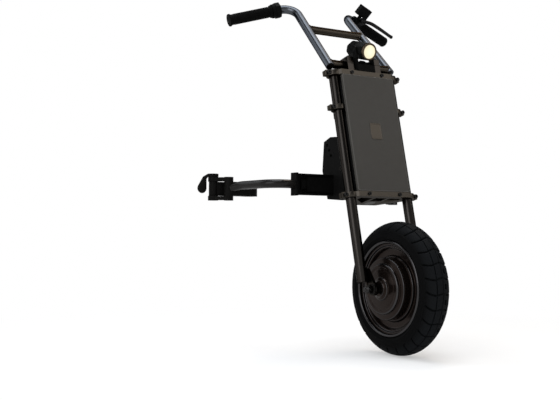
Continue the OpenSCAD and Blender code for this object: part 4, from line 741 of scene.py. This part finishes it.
def makeBar(sizes, side):
    radius, chamfer = sizes["radius"], sizes["chamfer"]
    low = barFoot - barUp * (radius + sizes["below"])
    corners = [low, barCorner, barCorner + barEnd * sizes["end"]]
    points = bentPath(corners, sizes["bend"], steps=20)
    first, last = points[0], points[-1]
    points = [first, first + barUp * chamfer] + points[1:-1] + [last - barEnd * chamfer, last]
    radii = [radius - chamfer] + [radius] * (len(points) - 2) + [radius - chamfer]
    return sweep(points, radii, sides[side], count=56)


def makeWelds(sizes, side):
    radius, inward = sizes["radius"], (-1, 0, 0)
    shapes = []
    for centre, branch in ((braceSpot, sizes["braceRadius"]),
                           (barFoot, radius * sizes["crossShare"])):
        loop = saddleLoop(centre, barUp, radius, inward, branch)
        radii = [sizes["bead"] * (1.0 + sizes["ripple"] * math.cos(k * sizes["rippleTurn"]))
                 for k in range(len(loop))]
        shapes.append(sweep(loop, radii, sides[side], count=10, loop=True))
    return shapes


for side in ("right", "left"):
    addPiece("bar_" + side, [makeBar(barSizes, side)], "bar_chrome", "steering",
             ["handlebar_" + side])
    addPiece("barWelds_" + side, makeWelds(barSizes, side), "bar_chrome", "steering",
             look="brace_metal")

# Fork tubes, handlebar brace and cross tube
tubeSizes = {"half": 87.75, "radius": 12.75, "low": 20.0, "high": 555.0, "wall": 2.5, "swage": 16.0,
             "inset": 6.0, "slim": 0.3, "taper": 1.5}


def makeForkTube(sizes, side):
    outer, bore = sizes["radius"], sizes["radius"] - sizes["wall"]
    low, high = sizes["low"], sizes["high"]
    profile = rounded([(0, low + 2.0, 0), (bore, low + 2.0, 0.3), (bore + 0.4, low, 0.4),
                       (outer, low, 0.9), (outer, high, 0.9), (bore, high, 0.4),
                       (bore - 0.6, high - 0.9, 0.3), (0, high - 0.9, 0)], closed=False, steps=4)
    return lathe(profile, aimed(sides[side], (sizes["half"], 0.0, 0.0), (0, 0, 1)), count=72)


def makeTie(sizes, spot, radius):  # tube across both bars, a little slimmer between its welded ends
    half = spot.x - sizes["inset"]
    run, slim, taper = half - sizes["swage"], radius - sizes["slim"], sizes["taper"]
    profile = [(0, -half), (radius, -half), (radius, -run), (slim, taper - run),
               (slim, run - taper), (radius, run), (radius, half), (0, half)]
    return lathe(profile, aimed(steer, (0.0, spot.y, spot.z), (1, 0, 0)), count=56)


for side in ("right", "left"):
    addPiece("forkTube_" + side, [makeForkTube(tubeSizes, side)], "bronze_tube", "steering",
             ["fork_tube_" + side])
addPiece("barBrace", [makeTie(tubeSizes, braceSpot, barSizes["braceRadius"])], "brace_metal",
         "steering", ["handlebar_brace"])
addPiece("barCross", [makeTie(tubeSizes, barFoot, barSizes["radius"])],
         slotOf["handlebar_cross_tube"], "steering", ["handlebar_cross_tube"], look="brace_metal")

# Grips with ribs
gripSizes = {"radius": 14.5, "flange": 16.5, "start": 65.4, "restStart": 64.4, "end": 187.4,
             "rib": 3.2, "ribDepth": 0.9, "ribsFrom": 9.0, "ribsTo": 16.0, "inner": 11.2}


def makeGrip(sizes, start, flanged):
    length, radius, inner, rib = sizes["end"] - start, sizes["radius"], sizes["inner"], sizes["rib"]
    collar = sizes["flange"] if flanged else radius + 0.6
    profile = [(inner, 0.3)]
    profile += rounded([(inner, 0.0, 0), (collar, 0.0, 1.0), (collar, 4.0, 1.0),
                        (radius - 0.6, 5.6, 0)], closed=False, steps=4)
    along, valley = sizes["ribsFrom"], radius - sizes["ribDepth"]
    while along < length - sizes["ribsTo"]:
        profile += [(valley, along), (radius, along + rib * 0.3), (radius, along + rib * 0.62),
                    (valley, along + rib * 0.92)]
        along += rib
    tail = sizes["flange"] if flanged else radius
    profile += rounded([(radius - 0.6, length - 12.0, 0), (radius - 0.2, length - 5.5, 2.0),
                        (tail, length - 4.6, 0.8), (tail, length, 1.2 if flanged else 4.4),
                        (0.0, length, 0)], closed=False, steps=6)
    return profile


for name, side, start, flanged, body, node in (
        ("throttleGrip", "right", gripSizes["start"], True, "throttle", "throttle_grip"),
        ("restGrip", "left", gripSizes["restStart"], False, "steering", "left_grip")):
    profile = makeGrip(gripSizes, start, flanged)
    addPiece(name, [lathe(profile, barFrame(side, start), count=72)], "grip_rubber", body, [node])

# Brake lever: bent blade with a ball end
leverSizes = {"pivot": (53.0, 31.0), "hub": 5.5, "tip": 163.0, "reach": 45.0, "thick": 4.6,
              "blade": 4.2, "swell": 0.4, "swellRate": 1.4, "hubEdge": 0.6, "ball": 5.1}


def makeLever(sizes):
    place = endFrame("left")
    px, py = sizes["pivot"]
    reach = sizes["reach"]
    route = [(px, py + 1.0), (px + 8, py + 6.5), (px + 17, reach - 2.2), (px + 30, reach + 0.2),
             (px + 60, reach + 1.0), (px + 84, reach + 0.8), (px + 100, reach + 0.3),
             (sizes["tip"] - 2.0, reach + 0.4)]
    points = []
    for k in range(len(route) - 1):  # smooth curve through the route
        p0, p1 = Vector(route[max(0, k - 1)]), Vector(route[k])
        p2, p3 = Vector(route[k + 1]), Vector(route[min(len(route) - 1, k + 2)])
        for i in range(6):
            t = i / 6
            p = 0.5 * (2 * p1 + (p2 - p0) * t + (2 * p0 - 5 * p1 + 4 * p2 - p3) * t * t
                       + (3 * p1 - p0 - 3 * p2 + p3) * t ** 3)
            points.append(Vector((p.x, p.y, 0.0)))
    points.append(Vector((*route[-1], 0.0)))
    count, thick = len(points), sizes["thick"]
    radii = []
    for k in range(count):  # the blade swells after its hub and runs out evenly
        swell = math.sin(math.pi * min(1.0, k / (count - 1) * sizes["swellRate"]))
        radii.append(sizes["blade"] + swell * sizes["swell"])
    blade = sweep(points, radii, place, count=24, flat=thick / sizes["blade"], hint=(0, 1, 0))
    hub = [(px + sizes["hub"] * math.cos(a), py + sizes["hub"] * math.sin(a)) for a in turnsOf(40)]
    ballPlace = aimed(place, (sizes["tip"], reach + 0.5, 0.0), (1, 0, 0))
    turns = [math.pi * k / 18 for k in range(19)]
    ball = [(sizes["ball"] * math.sin(a), -sizes["ball"] * math.cos(a)) for a in turns]
    return [blade, slab(hub, -thick, thick, sizes["hubEdge"], place),
            lathe(ball, ballPlace, count=32)]


addPiece("leverBlade", makeLever(leverSizes), "lever_alloy", "brake", ["brake_lever"])
print("stage: handlebar and controls made")

# Lamp: eight-sided body with cooling slots, turned bezel and lit lens
lampSizes = {"tilt": 28.0, "flats": 44.0, "soften": 1.065, "front": 33.5, "length": 78.0,
             "lens": 17.0, "dome": 2.0, "domeDrop": 3.2, "lensBack": 4.0, "tail": 8.0, "fins": 5,
             "finsAfter": 2.0, "finPitch": 5.0, "finThick": 2.6, "slotShare": 0.9, "pin": 4.0,
             "pinHalf": 26.8}
lampPivot = Vector(joints["lamp_tilt"]["pos_m"])


def lampFrame():  # z runs ahead out of the lens
    tilt = math.radians(lampSizes["tilt"])
    ahead = -headBack * math.cos(tilt) - headUp * math.sin(tilt)
    up = headUp * math.cos(tilt) - headBack * math.sin(tilt)
    return frameOf(lampPivot, headSide, up, ahead)


def eightRing(reach, depth, place, soften, count=96):
    ring = []
    for turn in turnsOf(count):
        flat = 1.0 / math.cos((turn + math.pi / 8) % (math.pi / 4) - math.pi / 8)
        away = reach * min(flat, soften)
        ring.append(place @ Vector((away * math.cos(turn), away * math.sin(turn), depth)))
    return ring


def makeLampBody(sizes):
    place = lampFrame()
    reach, front, lens = sizes["flats"] / 2, sizes["front"], sizes["lens"]
    soft, pitch, slot = sizes["soften"], sizes["finPitch"], sizes["slotShare"]
    back = front - sizes["length"]
    along = back + sizes["tail"] + sizes["finsAfter"]
    # From the tail to the bezel: share of the reach, place along the body, softness of the corners
    steps = [(0.7, back, 1.05), (0.8, back + 0.6, 1.06), (0.86, back + 3.0, 1.06),
             (0.97, back + sizes["tail"], 1.06)]
    for k in range(sizes["fins"]):
        steps += [(1.0, along, soft), (1.0, along + sizes["finThick"], soft),
                  (slot, along + sizes["finThick"] + 0.3, soft), (slot, along + pitch - 0.3, soft)]
        along += pitch
    steps += [(1.0, along, soft), (1.0, front - 9.0, soft), (0.98, front - 8.0, 1.06),
              (0.9, front - 7.6, 1.0)]
    body = loft([eightRing(reach * share, depth, place, corner) for share, depth, corner in steps])
    bezel = rounded([(lens + 0.4, front - 12.0, 0), (lens + 3.2, front - 8.5, 0),
                     (reach - 0.3, front - 7.0, 0.8), (reach, front - 1.4, 1.2),
                     (reach - 1.6, front, 0.9), (lens + 0.9, front, 0.6),
                     (lens + 0.2, front - 2.0, 0)], steps=4)
    pin, pinHalf = sizes["pin"], sizes["pinHalf"]
    profile = [(0, reach - 1), (pin, reach - 1), (pin, pinHalf - 0.5), (pin - 0.5, pinHalf),
               (0, pinHalf)]
    pins = [lathe(profile, aimed(place, (0, 0, 0), (side, 0, 0)), count=32) for side in (1, -1)]
    return [body] + pins, [lathe(bezel, place, count=96, loop=True)]


def makeLampLens(sizes):
    lens, front = sizes["lens"], sizes["front"]
    top, back = front + sizes["dome"], front - sizes["lensBack"]
    profile = [(0.0, top)]
    profile += [(lens * k / 10, top - sizes["domeDrop"] * (k / 10) ** 2) for k in range(1, 11)]
    profile += [(lens, back), (0.0, back)]
    return lathe(profile, lampFrame(), count=64)


lampShell, lampBezel = makeLampBody(lampSizes)
addPiece("lampBody", lampShell, "lamp_black", "lamp", ["lamp_body"])
addPiece("lampBezel", lampBezel, "lamp_black", "lamp", look="bezel_warm")
lensPiece = addPiece("lampLens", [makeLampLens(lampSizes)], "lens", "lamp", ["lamp_lens"])
lensMap = lensPiece.data.uv_layers.new(name="face")
lensBack = lampFrame().inverted()
for loop in lensPiece.data.loops:  # round map over the lens for its rings
    spot = lensBack @ lensPiece.data.vertices[loop.vertex_index].co
    lensMap.data[loop.index].uv = [0.5 + along / lampSizes["lens"] / 2 for along in spot[:2]]
print("stage: lamp made")

# Docking arms: swept tubes
armSizes = {"radius": 11.0, "bend": 50.0, "setBack": 9.0,
            "route": ((154.1, 100.0, 414.0), (218.0, 100.0, 414.0), (246.0, 214.0, 412.0),
                      (265.0, 242.0, 404.0))}


def makeArm(sizes, side):
    route = [Vector(p) for p in sizes["route"]]
    last = (route[-1] - route[-2]).normalized()
    route[-1] = route[-1] - last * sizes["setBack"]
    path = bentPath(route, sizes["bend"], steps=16)
    return sweep(path, sizes["radius"], grounds[side], count=48)


for side in ("right", "left"):
    addPiece("dockArm_" + side, [makeArm(armSizes, side)], "arm_tube", "dock",
             ["dock_arm_" + side])
print("stage: docking arms made")

# Carried nodes: a material each, and softened edges
edgeWidths = {"lower_yoke": 1.2, "middle_yoke": 1.2, "top_yoke": 1.2, "dropout": 1.0,
              "cross_beam": 1.6, "beam_end_caps": 2.0, "side_plate": 0.8, "head_block": 1.2,
              "dock_saddle": 2.4, "locking_jaw": 2.4, "riser_blocks": 1.4, "riser_caps": 1.4,
              "display_case": 2.4, "battery_case": 2.0, "lamp_bracket": 0.8,
              "throttle_housing": 1.2, "brake_perch": 1.0}
edgeStyle = {"width": 0.4, "segments": 2, "angle": 28}  # width where none is listed
nodeLooks = dict.fromkeys(("dropout", "riser_blocks", "riser_caps"), "bronze_tube")
for name, node in frame["nodes"].items():
    kind = name.removesuffix("_right").removesuffix("_left")
    node.data.materials.clear()
    node.data.materials.append(surfaces[nodeLooks.get(kind, slotOf[name])])
    if node.hide_render:
        continue
    weld = node.modifiers.new("join", "WELD")
    weld.merge_threshold = joinGap
    soften = node.modifiers.new("edges", "BEVEL")
    soften.width = edgeWidths.get(kind, edgeStyle["width"]) * mm
    soften.segments = edgeStyle["segments"]
    soften.limit_method = "ANGLE"
    soften.angle_limit = math.radians(edgeStyle["angle"])
    soften.harden_normals = True
print("stage: carried nodes dressed")

# Floor, light and background
floorSizes = {"reach": 30.0, "gap": 0.0004, "dark": grey(0.86), "light": grey(0.9),
              "cloud": 3.0, "near": 0.35, "far": 1.3, "nearShare": 0.4}


def seenRays(wire):  # rays that show the background as it looks
    camera, glossy, through = (wire.node("ShaderNodeLightPath", out="Is %s Ray" % kind)
                               for kind in ("Camera", "Glossy", "Transmission"))
    return wire.math("MAXIMUM", wire.math("MAXIMUM", camera, glossy), through)


def makeFloor(sizes):
    mesh = bpy.data.meshes.new("floor")
    r, z = sizes["reach"], startBounds[0].z - sizes["gap"]
    mesh.from_pydata([(-r, -r, z), (r, -r, z), (r, r, z), (-r, r, z)], [], [(0, 1, 2, 3)])
    floor = addObject("floor", mesh)
    material, wire = startMaterial("paleFloor")
    rays = seenRays(wire)
    place = wire.node("ShaderNodeTexCoord", out="Object")
    cloud = noise(wire, place, sizes["cloud"], detail=3)
    tone = blendColour(wire, cloud, rgba(sizes["dark"]), rgba(sizes["light"]))
    matt = wire.node("ShaderNodeBsdfDiffuse", None, {"Color": tone})
    white = wire.node("ShaderNodeEmission", None, {"Color": rgba(grey(1.0)), "Strength": 1.0})
    away = vectorMath(wire, "DISTANCE", place, (0.0, 0.0, 0.0), "Value")
    far = smoothShare(wire, away, sizes["near"], sizes["far"], sizes["nearShare"])
    surface = wire.node("ShaderNodeMixShader", None, {0: rays * far, 1: matt, 2: white})
    wire.node("ShaderNodeOutputMaterial", None, {"Surface": surface})
    mesh.materials.append(material)


def addLight(name, spot, target, size, power, colour):
    data = bpy.data.lights.new(name, "AREA")
    data.shape = "RECTANGLE"
    data.size, data.size_y = size
    data.energy = power
    data.color = colour
    light = addObject(name, data)
    light.location = spot
    light.rotation_euler = (Vector(target) - Vector(spot)).to_track_quat("-Z", "Y").to_euler()


worldSizes = {"level": 0.32, "overhead": 0.2, "fadeFrom": 0.12, "fadeTo": 0.55}


def makeWorld(sizes):
    world = bpy.data.worlds.new("studio")
    bpy.context.scene.world = world
    world.use_nodes = True
    world.node_tree.nodes.clear()
    wire = Wire(world.node_tree)
    around = wire.node("ShaderNodeTexCoord", out="Generated")
    rise = wire.node("ShaderNodeSeparateXYZ", None, {0: around}, out="Z")
    fade = smoothShare(wire, rise, sizes["fadeFrom"], sizes["fadeTo"])
    camera = wire.node("ShaderNodeLightPath", out="Is Camera Ray")
    lit, white, dim = (wire.node("ShaderNodeBackground", None,
                                 {"Color": rgba(grey(1.0)), "Strength": strength})
                       for strength in (sizes["level"], 1.0, sizes["overhead"]))
    fade = fade * (1.0 - camera)  # dimmer overhead in metal
    back = wire.node("ShaderNodeMixShader", None, {0: fade, 1: white, 2: dim})
    shade = wire.node("ShaderNodeMixShader", None, {0: seenRays(wire), 1: lit, 2: back})
    wire.node("ShaderNodeOutputWorld", None, {"Surface": shade})


makeFloor(floorSizes)
makeWorld(worldSizes)
middle = (0.0, -0.05, 0.45)
lights = {
    "keyLight": {
        "spot": (-2.6, -1.1, 1.7), "target": middle, "size": (2.0, 2.4), "power": 44.0,
        "colour": (0.95, 0.97, 1.0)},
    "backLight": {
        "spot": (-1.6, 2.0, 2.2), "target": middle, "size": (1.8, 2.6), "power": 24.0,
        "colour": (0.90, 0.95, 1.0)},
    "topLight": {
        "spot": (-0.2, 0.1, 2.8), "target": (-0.1, 0.05, 0.45), "size": (2.0, 1.2), "power": 40.0,
        "colour": (0.92, 0.96, 1.0)},
    "rimLight": {
        "spot": (1.05, 0.55, 2.4), "target": middle, "size": (0.81, 0.81), "power": 17.0,
        "colour": (1.0, 0.86, 0.73)},
    "frontLight": {
        "spot": (1.5, -1.75, 1.9), "target": middle, "size": (1.2, 1.0), "power": 11.0,
        "colour": (1.0, 0.96, 0.91)},
}
for name, light in lights.items():
    addLight(name, **light)
print("stage: floor and light made")

# Camera of the photograph
cameraSizes = {"spot": (-1.4258, -1.8690, 0.2963), "yaw": 0.5579, "pitch": 0.0330, "roll": 0.0057,
               "lens": 59.87, "sensor": 36.0}


def makeCamera(sizes):
    data = bpy.data.cameras.new("camera")
    data.lens = sizes["lens"]
    data.sensor_width = sizes["sensor"]
    camera = addObject("camera", data)
    yaw, pitch, roll = sizes["yaw"], sizes["pitch"], sizes["roll"]
    across = math.cos(pitch)
    ahead = Vector((math.sin(yaw) * across, math.cos(yaw) * across, math.sin(pitch)))
    level = Vector((math.cos(yaw), -math.sin(yaw), 0.0))
    rise = level.cross(ahead)
    right = level * math.cos(roll) + rise * math.sin(roll)
    up = rise * math.cos(roll) - level * math.sin(roll)
    camera.matrix_world = axesFrame(right, up, -ahead, sizes["spot"])
    bpy.context.scene.camera = camera


makeCamera(cameraSizes)
bpy.context.scene.view_settings.view_transform = "Standard"
print("stage: camera set, pieces done")
